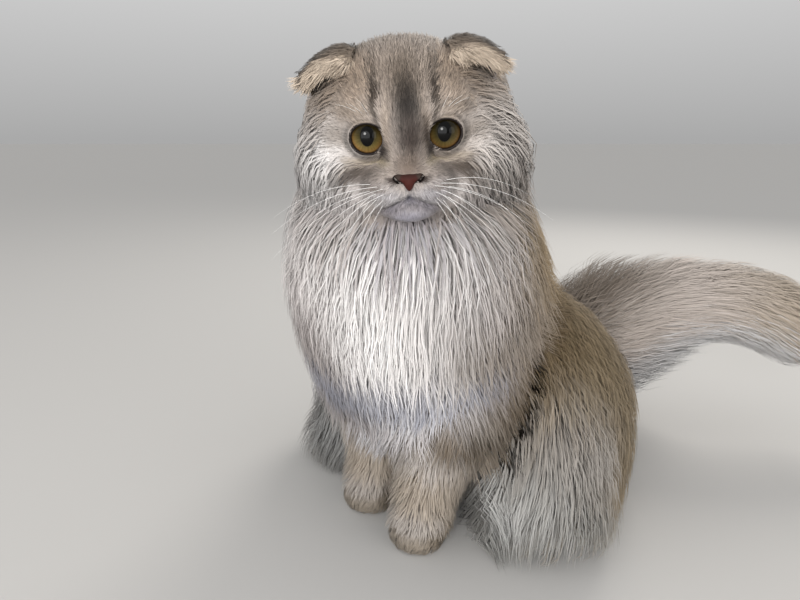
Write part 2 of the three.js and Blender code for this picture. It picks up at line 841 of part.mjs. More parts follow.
// Colours
const fur = (color) => new THREE.MeshStandardMaterial({ color, roughness: 0.9 });
const coats = {
  face: fur(0x9c8f83),
  body: fur(0xcfc6bd),
  tail: fur(0xc4bab0),
  leather: new THREE.MeshStandardMaterial({ color: 0x7a3b36, roughness: 0.5 }),
  iris: new THREE.MeshStandardMaterial({ color: 0x8a6a22, roughness: 0.1 }),
};

// The cat's three groups, each placed by its own frame
const cat = new THREE.Group();
const groups = {};
for (const [name, frame] of [
  ["head", headFrame],
  ["body", bodyFrame],
  ["tail", new THREE.Matrix4().setPosition(tail.path.getPoint(0))],
]) {
  const group = new THREE.Group();
  group.applyMatrix4(frame);
  groups[name] = { group, inverse: frame.clone().invert() };
  cat.add(group);
}
const placing = (name) => {
  if (name.startsWith("eye")) return ["head", coats.iris];
  if (name === "nose") return ["head", coats.leather];
  if (name === "head" || name.startsWith("ear")) return ["head", coats.face];
  if (name.startsWith("tail")) return ["tail", coats.tail];
  return ["body", coats.body];
};

for (const [name, solid] of built) {
  const mesh = solid.getMesh();
  const points = new Float32Array(mesh.numVert * 3);
  for (let i = 0; i < mesh.numVert; i++) {
    points.set(mesh.vertProperties.subarray(i * mesh.numProp, i * mesh.numProp + 3), i * 3);
  }
  const [groupName, material] = placing(name);
  const { group, inverse } = groups[groupName];
  const geometry = new THREE.BufferGeometry();
  geometry.setAttribute("position", new THREE.BufferAttribute(points, 3));
  geometry.setIndex(new THREE.BufferAttribute(mesh.triVerts, 1));
  geometry.applyMatrix4(inverse);
  geometry.computeBoundingBox();
  const pivot = geometry.boundingBox.getCenter(new THREE.Vector3());
  geometry.translate(-pivot.x, -pivot.y, -pivot.z);
  const shown = new THREE.Mesh(geometry, material);
  shown.name = name;
  shown.position.copy(pivot);
  group.add(shown);
}

// The origin is the middle of the footprint, on the floor
const bounds = new THREE.Box3().setFromObject(cat, true);
const middle = bounds.getCenter(new THREE.Vector3());
cat.position.set(-middle.x, -middle.y, -bounds.min.z);

export default cat;
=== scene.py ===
# A long-haired Scottish Fold cat, life size, as a still model. It sits upright with its body turned to
# its left, its face to the front and its tail swept out over its left side. One skin of flesh carries
# a coat of solid tufts. Forms are drawn in millimetres and placed in the frame in metres.
import math
from itertools import cycle, product
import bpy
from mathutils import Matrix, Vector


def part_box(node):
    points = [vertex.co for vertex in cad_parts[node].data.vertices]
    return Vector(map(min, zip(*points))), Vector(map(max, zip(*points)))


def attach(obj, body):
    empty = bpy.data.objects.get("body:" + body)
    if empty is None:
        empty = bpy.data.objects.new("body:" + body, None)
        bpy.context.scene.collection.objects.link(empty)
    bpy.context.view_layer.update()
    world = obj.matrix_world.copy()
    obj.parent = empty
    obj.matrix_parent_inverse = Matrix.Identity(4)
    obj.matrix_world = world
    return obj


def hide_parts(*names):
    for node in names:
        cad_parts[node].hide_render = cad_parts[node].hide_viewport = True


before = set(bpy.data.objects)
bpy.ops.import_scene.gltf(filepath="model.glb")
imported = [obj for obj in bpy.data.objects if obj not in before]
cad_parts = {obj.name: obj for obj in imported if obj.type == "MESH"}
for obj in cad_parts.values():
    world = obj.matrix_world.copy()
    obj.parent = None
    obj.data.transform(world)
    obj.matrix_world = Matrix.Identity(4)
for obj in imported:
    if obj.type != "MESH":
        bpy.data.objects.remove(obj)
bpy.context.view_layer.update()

from types import SimpleNamespace

import bpy
import numpy as np
from mathutils import Vector, kdtree

MM = 0.001

# The stance: the head and the body have their own axes, which read left, back and up of the cat. The
# packed eyes say where the whole cat stands.
HEAD_CENTRE = np.array([3.0, -110.0, 296.0])
HEAD_PITCH = math.radians(12)
HEAD_ROLL = math.radians(-3.5)
SEAT = np.array([-12.7, -80.0, 0.0])
BODY_TURN = math.radians(-35)
EYE_SPREAD = 21.1
EYE_PLACE = np.array([EYE_SPREAD, -33.5, 3.8])
DOWN = np.array([0.0, 0.0, -1.0])


def turn_of(pitch, roll):
    tip = np.array([
        [1, 0, 0],
        [0, math.cos(pitch), -math.sin(pitch)],
        [0, math.sin(pitch), math.cos(pitch)],
    ])
    lean = np.array([
        [math.cos(roll), 0, math.sin(roll)],
        [0, 1, 0],
        [-math.sin(roll), 0, math.cos(roll)],
    ])
    return lean @ tip


HEAD_TURN = turn_of(HEAD_PITCH, HEAD_ROLL)
LEFT = np.array([math.cos(BODY_TURN), math.sin(BODY_TURN), 0])
BACK = np.array([-math.sin(BODY_TURN), math.cos(BODY_TURN), 0])
BODY_AXES = np.array([LEFT, BACK, -DOWN])


def from_head(points):
    return np.asarray(points, float) @ HEAD_TURN.T + HEAD_CENTRE


def to_head(points):
    return (points - HEAD_CENTRE) @ HEAD_TURN


def from_body(points):
    return np.asarray(points, float) @ BODY_AXES + SEAT


def to_body(points):
    return (points - SEAT) @ BODY_AXES.T


eyes_packed = [np.array(sum(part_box(name), Vector())) / 2 / MM for name in ("eye_left", "eye_right")]
eyes_drawn = from_head([EYE_PLACE * [side, 1, 1] for side in (1, -1)])
SHIFT = np.mean(eyes_packed, axis=0) - eyes_drawn.mean(axis=0)

# The camera looks at the cat from a little above its face, near enough for the body to run away
# below. It is a phone's wide lens, held level.
CAMERA_PLACE = np.array([0.0, -500.0, 290.0])
CAMERA_PITCH = math.radians(14.5)
CAMERA_LENS = 28

camera = bpy.data.objects.new("camera", bpy.data.cameras.new("camera"))
bpy.context.scene.collection.objects.link(camera)
camera.location = (CAMERA_PLACE + SHIFT) * MM
camera.rotation_euler = (math.pi / 2 - CAMERA_PITCH, 0, 0)
camera.data.lens = CAMERA_LENS
camera.data.clip_start = 0.01
bpy.context.scene.camera = camera

# The body's forms under the coat. Each limb is a bent axis with an oval section at every station,
# given as left, back, up, half width and half depth, and the head is a cluster of rounded masses.
RIGHT_FOOT_BEHIND = 20
FRONT_FOOT_SPREAD = 30
HIND_FOOT_SPREAD = 100
TOE_BLEND = 1.6
FAR_AWAY = 999.0


def unit(vectors):
    return vectors / np.maximum(np.linalg.norm(vectors, axis=-1, keepdims=True), 1e-9)


def spline(rows, place):
    """Points on a smooth curve through rows, at places counted in rows."""
    i = np.clip(place.astype(int), 0, len(rows) - 2)
    f = (place - i).reshape(-1, *[1] * (rows.ndim - 1))
    padded = np.concatenate([[2 * rows[0] - rows[1]], rows, [2 * rows[-1] - rows[-2]]])
    a, b, c, d = (padded[i + k] for k in range(4))
    return 0.5 * (2 * b + (c - a) * f + (2 * a - 5 * b + 4 * c - d) * f**2 + (3 * b - a - 3 * c + d) * f**3)


def limb(rows, samples, across):
    rows = np.array(rows, float)
    fine = spline(rows, np.linspace(0, len(rows) - 1, samples))
    along = unit(np.gradient(fine[:, :3], axis=0))
    side = unit(across - along * (along @ across)[:, None])
    over = np.cross(side, along)
    radii = np.stack([fine[:, 3], fine[:, 4], fine[:, 3:].min(axis=1)], axis=1)
    reach = radii.max()
    return SimpleNamespace(
        centre=fine[:, :3], along=along, side=side, over=over, radii=radii,
        low=fine[:, :3].min(axis=0) - reach, high=fine[:, :3].max(axis=0) + reach,
    )


def body_limb(rows, samples):
    rows = np.array(rows, float)
    rows[:, :3] = from_body(rows[:, :3])
    return limb(rows, samples, LEFT)


def oval_gap(local, radii):
    """How far points lie outside an oval, in its own axes."""
    near = np.linalg.norm(local / radii, axis=-1)
    slope = np.linalg.norm(local / np.square(radii), axis=-1)
    return near * (near - 1) / np.maximum(slope, 1e-6)


def blended(gaps, blend, limit=40):
    """One gap from those of many masses that run into each other."""
    total = sum(np.exp(np.clip(-gap / blend, -limit, limit)) for gap in gaps)
    return -blend * np.log(total)


def limb_gap(form, points):
    gap = np.full(len(points), FAR_AWAY, np.float32)
    for centre, side, over, along, radii in zip(form.centre, form.side, form.over, form.along, form.radii):
        axes = np.stack([side, over, along], axis=1).astype(np.float32)
        local = (points - centre.astype(np.float32)) @ axes
        np.minimum(gap, oval_gap(local, radii.astype(np.float32)), out=gap)
    return gap


trunk = body_limb([
    [27, -6, 276, 26, 28],
    [20, 2, 248, 38, 40],
    [8, 20, 210, 54, 50],
    [0, 46, 168, 62, 62],
    [0, 80, 130, 60, 64],
    [0, 122, 104, 60, 61],
    [0, 162, 72, 56, 54],
    [0, 198, 52, 38, 38],
], 26)


def foreleg(sign):
    behind = RIGHT_FOOT_BEHIND if sign < 0 else 0
    out = sign * FRONT_FOOT_SPREAD
    return body_limb([
        [sign * 37, 52, 150, 19, 26],
        [sign * 41, 47 + behind * 0.2, 122, 21, 28],
        [sign * 37, 40 + behind * 0.4, 92, 18, 22],
        [out * 1.05, 26 + behind * 0.8, 62, 14, 16.5],
        [out, 14 + behind, 38, 12, 13.5],
        [out, 7 + behind, 20, 12, 13],
    ], 22)


def haunch(sign):
    return body_limb([
        [sign * 46, 154, 140, 14, 24],
        [sign * 64, 146, 116, 26, 45],
        [sign * 77, 136, 87, 33, 57],
        [sign * 84, 126, 57, 33, 56],
        [sign * 88, 118, 28, 27, 46],
        [sign * 90, 112, 9, 19, 34],
    ], 20)


def hind_foot(sign):
    out = sign * HIND_FOOT_SPREAD
    return body_limb([
        [out - sign * 7, 160, 17, 10, 10],
        [out - sign * 4, 130, 14, 11, 9],
        [out, 102, 13, 12, 10],
    ], 10)


tail = limb([
    [104, 86, 54, 13, 13],
    [150, 112, 64, 12, 12],
    [200, 118, 90, 11, 11],
    [250, 110, 118, 10.5, 10.5],
    [300, 98, 134, 10, 10],
    [345, 86, 131, 9, 9],
    [385, 76, 112, 7, 7],
], 60, np.array([0.0, -1.0, 0.0]))


def paw_ovals(left, toe_back):
    """The ball of the foot and its four toes: centres and radii in the body's axes."""
    ovals = [([left, toe_back + 22, 11], [13, 17, 9.8])]
    for offset, forward in ((-11.5, 4), (-4, 0), (4, 0), (11.5, 4)):
        ovals.append(([left + offset, toe_back + 12 + forward, 7.2], [4.7, 10, 6.8]))
    return [(np.array(centre, float), np.array(radii, float)) for centre, radii in ovals]


PAWS = {
    "forepaw_left": (FRONT_FOOT_SPREAD, -16),
    "forepaw_right": (-FRONT_FOOT_SPREAD, -16 + RIGHT_FOOT_BEHIND),
    "hindpaw_left": (HIND_FOOT_SPREAD, 66),
    "hindpaw_right": (-HIND_FOOT_SPREAD, 66),
}


def paw_gap(name, points):
    local = to_body(points).astype(np.float32)
    ovals = paw_ovals(*PAWS[name])
    return blended((oval_gap(local - centre.astype(np.float32), radii) for centre, radii in ovals), TOE_BLEND)


# Head masses: centre and radii in the head's axes, and whether there is one on either side
HEAD_MASSES = [
    ([0, 10, 12], [43.5, 45, 32.5], False),
    ([27, -6, -8], [24.5, 29, 25.5], True),
    ([16, -28, 17], [15.5, 13, 10], True),
    ([0, -36, 3], [8.8, 10.8, 11], False),
    ([0, -46, -9], [7.6, 10, 8.6], False),
    ([10, -45, -22], [11.8, 11.2, 7.8], True),
    ([0, -43, -34], [10.8, 9.2, 5.8], False),
    ([17, -22, -30], [15.5, 17, 10.5], True),
]
HEAD_BLEND = 4.5
EYE_RADIUS = 10.3
LID_THICKNESS = 1.6
LID_BLEND = 1.2
LID_STEEPNESS = 8.5
LID_OPENING = (9.5, 8.4)
LID_TILT = math.radians(9)
MOUTH_LINE = [[0, -25.7], [5, -27.4], [10, -30.2], [15, -33.2], [18.5, -36]]
MOUTH_DEPTH, MOUTH_WIDTH = 2.0, 1.15
PHILTRUM = [[0, -18], [0, -26.5]]
PHILTRUM_DEPTH, PHILTRUM_WIDTH = 0.8, 0.8


def head_gap(points):
    local = to_head(points).astype(np.float32)

    def gaps():
        for centre, radii, twin in HEAD_MASSES:
            for side in (1, -1) if twin else (1,):
                middle = np.array(centre, np.float32) * np.array([side, 1, 1], np.float32)
                yield oval_gap(local - middle, np.array(radii, np.float32))

    return blended(gaps(), HEAD_BLEND)


def line_gap(flat, line):
    """Distance in a plane from points to a bent line."""
    gap = np.full(len(flat), FAR_AWAY)
    for a, b in zip(np.array(line[:-1], float), np.array(line[1:], float)):
        share = np.clip((flat - a) @ (b - a) / np.sum((b - a) ** 2), 0, 1)
        gap = np.minimum(gap, np.linalg.norm(flat - a - share[:, None] * (b - a), axis=1))
    return gap


def lid_ring(local, side):
    """Where points lie across the lids' opening: 1 on its rim, seen from the front."""
    x = (local[:, 0] - side * EYE_SPREAD) * side
    z = local[:, 2] - EYE_PLACE[2]
    u = x * math.cos(LID_TILT) + z * math.sin(LID_TILT)
    v = z * math.cos(LID_TILT) - x * math.sin(LID_TILT)
    return np.hypot(u / LID_OPENING[0], v / LID_OPENING[1])


def face_gap(points):
    """The head with its lids, the slots between them, and the line of the mouth."""
    gap = head_gap(points)
    local = to_head(points)
    for side in (1, -1):
        lid = np.linalg.norm(local - EYE_PLACE * [side, 1, 1], axis=1) - EYE_RADIUS - LID_THICKNESS
        gap = -LID_BLEND * np.log(np.exp(-gap / LID_BLEND) + np.exp(-np.clip(lid, -40, 90) / LID_BLEND))
        slot = np.where(local[:, 1] < EYE_PLACE[1] + 3, (lid_ring(local, side) - 1) * LID_STEEPNESS, 9)
        gap = np.maximum(gap, -slot)
    flat = np.stack([np.abs(local[:, 0]), local[:, 2]], axis=1)
    front = np.clip((-local[:, 1] - 18) / 10, 0, 1)
    gap += MOUTH_DEPTH * front * np.exp(-((line_gap(flat, MOUTH_LINE) / MOUTH_WIDTH) ** 2))
    gap += PHILTRUM_DEPTH * front * np.exp(-((line_gap(flat, PHILTRUM) / PHILTRUM_WIDTH) ** 2))
    return gap


LIMBS = {
    "torso": trunk,
    "foreleg_left": foreleg(1),
    "foreleg_right": foreleg(-1),
    "hindleg_left": haunch(1),
    "hindleg_right": haunch(-1),
    "foot_left": hind_foot(1),
    "foot_right": hind_foot(-1),
    "tail": tail,
}

# The skin: one closed surface round all of these forms, drawn on a fine net for the head and on a
# coarser one for the body and then joined, with a folded ear on either side of the crown.
BODY_STEP = 3.0
HEAD_STEP = 0.85
BODY_BLEND = 6.0
COAT_REACH = 48
FLOOR_CLEARANCE = 0.6
HEAD_REACH = np.array([58, 68, 58])


def filled(low, high, step, shapes, blend):
    """How strongly shapes, each a function and the box that it fills, fill a net of points."""
    size = np.ceil((high - low) / step).astype(int) + 1
    total = np.full(size, 1e-30, np.float32)
    for gap, shape_low, shape_high in shapes:
        first = np.clip(((shape_low - COAT_REACH - low) / step).astype(int), 0, size - 1)
        last = np.clip(((shape_high + COAT_REACH - low) / step).astype(int) + 1, 0, size)
        axes = [low[k] + step * np.arange(first[k], last[k]) for k in range(3)]
        block = np.stack(np.meshgrid(*axes, indexing="ij"), axis=-1).reshape(-1, 3).astype(np.float32)
        inside = tuple(slice(a, b) for a, b in zip(first, last))
        shape = total[inside].shape
        total[inside] += np.exp(np.clip(-gap(block) / blend, -60, 60)).reshape(shape)
    return total


def reader(values, low, step):
    """Reads the distance and the way out of the skin anywhere on a net."""
    table = np.stack([values, *np.gradient(values, step)], axis=-1).astype(np.float32)
    top = np.array(values.shape) - 1.001

    def read(points):
        q = np.clip((points - low) / step, 0, top)
        i = q.astype(int)
        f = q - i
        out = 0
        for corner in product((0, 1), repeat=3):
            weight = np.prod(np.where(corner, f, 1 - f), axis=1)
            out = out + table[tuple((i + corner).T)] * weight[:, None]
        return out[:, 0], unit(out[:, 1:])

    return read


def netted(values, low, step):
    """A closed surface where the distances change sign, with one point in each cell that it crosses."""
    inside = values < 0
    shape = np.array(values.shape) - 1
    corners = [
        inside[i:shape[0] + i, j:shape[1] + j, k:shape[2] + k] for i, j, k in product((0, 1), repeat=3)
    ]
    count = sum(corner.astype(np.int8) for corner in corners)
    cells = np.argwhere((count > 0) & (count < 8))
    index = np.full(shape, -1, int)
    index[tuple(cells.T)] = np.arange(len(cells))
    total = np.zeros((len(cells), 3))
    hits = np.zeros(len(cells))
    for a in product((0, 1), repeat=3):
        for axis in range(3):
            if a[axis]:
                continue
            b = np.array(a)
            b[axis] = 1
            start = values[tuple((cells + a).T)]
            end = values[tuple((cells + b).T)]
            crossed = (start < 0) != (end < 0)
            share = np.where(crossed, start / np.where(crossed, start - end, 1), 0)
            total += np.where(crossed[:, None], a + share[:, None] * (b - a), 0)
            hits += crossed
    points = low + (cells + total / hits[:, None]) * step
    faces = []
    for axis in range(3):
        one, two = (axis + 1) % 3, (axis + 2) % 3
        before = np.take(inside, range(shape[axis]), axis=axis)
        after = np.take(inside, range(1, shape[axis] + 1), axis=axis)
        place = np.argwhere(before != after)
        place = place[(place[:, one] > 0) & (place[:, two] > 0)]
        place = place[(place[:, one] < shape[one]) & (place[:, two] < shape[two])]
        e1 = np.eye(3, dtype=int)[one]
        e2 = np.eye(3, dtype=int)[two]
        ring = [index[tuple((place - back).T)] for back in (0, e1, e1 + e2, e2)]
        quad = np.stack(ring, axis=1)
        outward = before[tuple(place.T)]
        quad[~outward] = quad[~outward][:, ::-1]
        faces.append(quad)
    return points, np.vstack(faces)


def mesh_of(name, points, faces):
    """A mesh from points in millimetres and faces of one size."""
    mesh = bpy.data.meshes.new(name)
    mesh.vertices.add(len(points))
    mesh.vertices.foreach_set("co", ((points + SHIFT) * MM).astype(np.float32).ravel())
    mesh.loops.add(faces.size)
    mesh.loops.foreach_set("vertex_index", faces.astype(np.int32).ravel())
    mesh.polygons.add(len(faces))
    mesh.polygons.foreach_set("loop_start", np.arange(0, faces.size, faces.shape[1], dtype=np.int32))
    mesh.update(calc_edges=True)
    mesh.shade_smooth()
    return mesh


def object_of(name, mesh):
    made = bpy.data.objects.new(name, mesh)
    bpy.context.scene.collection.objects.link(made)
    return made


# The ears: small flaps of skin over cartilage, set wide on the skull. They are folded forward, as the
# breed's are: each goes up from the skull to its crest, over it and down to a free margin.
EAR_BASE = [[22, 5, 40], [33, 12, 35], [43, 13, 24], [48, 6, 15], [46, -4, 12]]
EAR_CREST = [[26, -1, 47], [35, 1, 48.5], [45, 1, 46], [52, -2, 42], [58, -7, 38]]
EAR_MARGIN = [[28, -9, 40.5], [35, -13, 43], [43, -15, 41.5], [50, -14, 38.5], [57, -9, 36.5]]
EAR_THICKNESS = 2.2
EAR_BULGE = 3.5
EAR_COLUMNS, EAR_ROWS = 30, 36
RIGHT_EAR_DROOP = 4


def smooth_rows(rows, places):
    """Points along a curve through rows, at places from 0 to 1."""
    rows = np.array(rows, float)
    return spline(rows, np.asarray(places) * (len(rows) - 1))


def ear_sheet(side, columns, rows):
    """The ear's middle surface in the head's axes: rows from the skull to the margin."""
    places = np.linspace(0, 1, columns)
    base, crest, margin = (smooth_rows(row, places) for row in (EAR_BASE, EAR_CREST, EAR_MARGIN))
    swell = base * 0.45 + crest * 0.55 + np.array([0.6, 1, 0.3]) * EAR_BULGE
    fold = (crest + margin) / 2 + np.array([0.2, -0.6, 0.8]) * 2.6
    sheet = smooth_rows(np.stack([base, swell, crest, fold, margin]), np.linspace(0, 1, rows))
    if side < 0:
        sheet[..., 2] -= RIGHT_EAR_DROOP * (sheet[..., 0] - 24) / 34
        sheet[..., 0] *= -1
    return sheet


def ear_solid(side):
    columns, rows = EAR_COLUMNS, EAR_ROWS
    sheet = ear_sheet(side, columns, rows)
    du = np.gradient(sheet, axis=1)
    dv = np.gradient(sheet, axis=0)
    normal = unit(np.cross(du, dv)) * side
    half = normal * EAR_THICKNESS / 2
    points = np.concatenate([(sheet + half).reshape(-1, 3), (sheet - half).reshape(-1, 3)])
    grid = np.arange(rows * columns).reshape(rows, columns)
    quads = np.stack([grid[:-1, :-1], grid[:-1, 1:], grid[1:, 1:], grid[1:, :-1]], axis=-1)
    quads = quads.reshape(-1, 4)
    under = quads[:, ::-1] + rows * columns
    rim = np.concatenate([grid[0, :], grid[1:, -1], grid[-1, -2::-1], grid[-2:0:-1, 0]])
    after = np.roll(rim, -1)
    wall = np.stack([rim, rim + rows * columns, after + rows * columns, after], axis=1)
    faces = np.concatenate([quads, under, wall])
    if side < 0:
        faces = faces[:, ::-1]
    return from_head(points), faces


body_low = np.minimum.reduce([form.low for form in LIMBS.values()]) - COAT_REACH
body_high = np.maximum.reduce([form.high for form in LIMBS.values()]) + COAT_REACH
body_high[2] = HEAD_CENTRE[2] + 60 + COAT_REACH
body_low[1] = HEAD_CENTRE[1] - 70 - COAT_REACH
body_low[2] = -3 * BODY_STEP
body_shapes = [(lambda p, form=form: limb_gap(form, p), form.low, form.high) for form in LIMBS.values()]
for paw, (left, toe_back) in PAWS.items():
    ball = from_body([left, toe_back + 20, 8])
    body_shapes.append((lambda p, paw=paw: paw_gap(paw, p), ball - 30, ball + 30))
head_low, head_high = HEAD_CENTRE - HEAD_REACH, HEAD_CENTRE + HEAD_REACH
body_fill = filled(body_low, body_high, BODY_STEP, body_shapes, BODY_BLEND)
head_fill = filled(body_low, body_high, BODY_STEP, [(head_gap, head_low, head_high)], BODY_BLEND)
face_values = -np.log(filled(head_low, head_high, HEAD_STEP, [(face_gap, head_low, head_high)], 1.0))
over_body = reader(-BODY_BLEND * np.log(body_fill + head_fill), body_low, BODY_STEP)
over_face = reader(face_values, head_low, HEAD_STEP)
floor_depth = FLOOR_CLEARANCE - body_low[2] - BODY_STEP * np.arange(body_fill.shape[2])
body_values = np.maximum(-BODY_BLEND * np.log(body_fill), floor_depth)


def joined(name, parts):
    """One closed surface from parts that sink into each other."""
    first = object_of(name, parts[0])
    for each in parts[1:]:
        other = object_of(name + "_part", each)
        union = first.modifiers.new("union", "BOOLEAN")
        union.operation = "UNION"
        union.solver = "EXACT"
        union.object = other
        graph = bpy.context.evaluated_depsgraph_get()
        result = bpy.data.meshes.new_from_object(first.evaluated_get(graph))
        first.modifiers.clear()
        first.data = result
        bpy.data.objects.remove(other)
    return first


skin = joined("skin", [
    mesh_of("skin_body", *netted(body_values, body_low, BODY_STEP)),
    mesh_of("skin_head", *netted(face_values, head_low, HEAD_STEP)),
    mesh_of("skin_ear_left", *ear_solid(1)),
    mesh_of("skin_ear_right", *ear_solid(-1)),
])
skin.data.shade_smooth()

# Markings and painted shade: one set of colours for skin and coat. Each place has a colour near the skin and
# one at the tips, from soft patches laid over the ground colour of the head, the body, the legs and the tail;
# some of these patches are painted shade.


def paint(code):
    """A colour in linear light from its code."""
    parts = np.array([int(code[i:i + 2], 16) for i in (0, 2, 4)]) / 255
    return np.where(parts > 0.04045, ((parts + 0.055) / 1.055) ** 2.4, parts / 12.92)


def ramp(values, start, end):
    share = np.clip((values - start) / (end - start), 0, 1)
    return share * share * (3 - 2 * share)


def patch(points, centre, radii):
    return np.exp(-np.sum(((points - np.array(centre, float)) / np.array(radii, float)) ** 2, axis=1))


def lay(layers, share, codes, *strengths):
    """Lays colours over layers, near the skin and at the tips, as strongly as share says."""
    for layer, code, strength in zip(layers, codes, cycle(strengths or (1,))):
        layer += (paint(code) - layer) * np.clip(share * strength, 0, 1)[:, None]


# Patches of the face, seen from the front: x, z, half width, half height, strength and colour, and
# whether there is one on either side
FACE_PATCHES = [
    (0, 36, 40, 14, 0.75, "ab9e93", False),
    (22, 28, 11, 10, 0.75, "95826f", True),
    (0, 26, 11, 13, 0.85, "6e6154", False),
    (-44, -13, 15, 22, 0.95, "fbf7f5", False),
    (42, -8, 13, 24, 0.8, "e0d9d4", False),
    (28, 20, 12, 8, 0.5, "a08d7b", True),
    (8.6, 7, 2.6, 13, 0.6, "a69686", True),
    (1.2, 15, 7.5, 13, 0.95, "1e1916", False),
    (1.5, 1, 6.4, 9, 0.95, "372d28", False),
    (14.3, 21, 2.1, 15, 0.95, "261d15", True),
    (24, 15.5, 8, 3.5, 0.6, "998c7f", True),
    (34, 3, 8, 5, 0.6, "75695d", True),
    (27, -13.8, 14, 5.4, 0.9, "463b32", True),
    (13, -8.5, 4.5, 2.2, 0.8, "baab8c", True),
    (22, -8.6, 8, 1.7, 0.5, "c0b2a0", True),
    (10.6, -4.0, 2.6, 5.0, 0.95, "1d1512", True),
    (8.8, 3, 2.2, 6.5, 0.9, "30241c", False),
    (0, -8, 6, 4, 0.8, "67594e", False),
    (11, -23.5, 11.5, 6, 0.9, "b9b6b9", True),
    (13, -23, 9, 6, 0.6, "999599", False),
    (20, -7.2, 8, 1.6, 0.5, "b5a795", True),
    (16, -19, 7, 1.3, 0.6, "6f6256", True),
    (17, -23.5, 7, 1.0, 0.45, "6f6256", True),
    (31, -28, 13, 9, 0.75, "d8d1cf", True),
    # Painted shade: the skin seen inside each nostril is near black.
    (6.8, -15.2, 3.0, 1.7, 0.95, "2b1f1b", True),
    (0, -11.5, 7, 2.2, 0.5, "6a5a50", False),
    (0, -24, 2.0, 3.6, 0.75, "525462", False),
    (0, -34, 14, 6, 0.8, "a5a4b3", False),
    # Painted shadow: the dark mauve crescent under the chin.
    (0, -43, 24, 3.0, 0.7, "84828f", False),
    # Brown fur with painted shade in the gap under each ear.
    (47, 27, 5, 5, 0.5, "6f5a3d", True),
]


def lay_face_patches(layers, local):
    """Lays the face's patches over the colours of places in the head's axes."""
    front = ramp(-local[:, 1], -8, 14)
    for x, z, wide, tall, share, code, twin in FACE_PATCHES:
        for side in (1, -1) if twin else (1,):
            spot = ((local[:, 0] - side * x) / wide) ** 2 + ((local[:, 2] - z) / tall) ** 2
            lay(layers, np.exp(-(spot**1.4)) * share * front, (code, code))


def nearest(form, points):
    gaps = np.stack([np.sum((points - centre) ** 2, axis=1) for centre in form.centre], axis=1)
    return np.argmin(gaps, axis=1)


def near_forms(points, reach, *names):
    """1 on the named limbs, falling off beyond them."""
    gap = np.min([limb_gap(LIMBS[name], points) for name in names], axis=0)
    return np.exp(-np.clip(gap, 0, 90) / reach)


def ear_places(head):
    """1 on an ear, and how far a place lies on the way from its crest to its free margin."""
    mirrored = head.copy()
    mirrored[:, 2] += np.where(head[:, 0] < 0, RIGHT_EAR_DROOP * (np.abs(head[:, 0]) - 24) / 34, 0)
    mirrored[:, 0] = np.abs(head[:, 0])
    off = {}
    for name, row in (("crest", EAR_CREST), ("margin", EAR_MARGIN)):
        line = smooth_rows(row, np.linspace(0, 1, 24))
        off[name] = np.min(np.linalg.norm(mirrored[:, None] - line[None], axis=2), axis=1)
    near = np.minimum(off["crest"], off["margin"])
    return ramp(-near, -11, -8.5), off["crest"] / (off["crest"] + off["margin"])


# The dark band of the flank, from the loin down to the elbow, in the body's axes without its side: dark brown
# fur with painted shade in the fold between ruff and haunch
FLANK_BAND = np.array([[76, 128, 166], [72, 104, 146], [66, 76, 128], [54, 42, 110], [48, 24, 96]], float)
FLANK_FLATNESS = np.array([0.35, 1, 1])


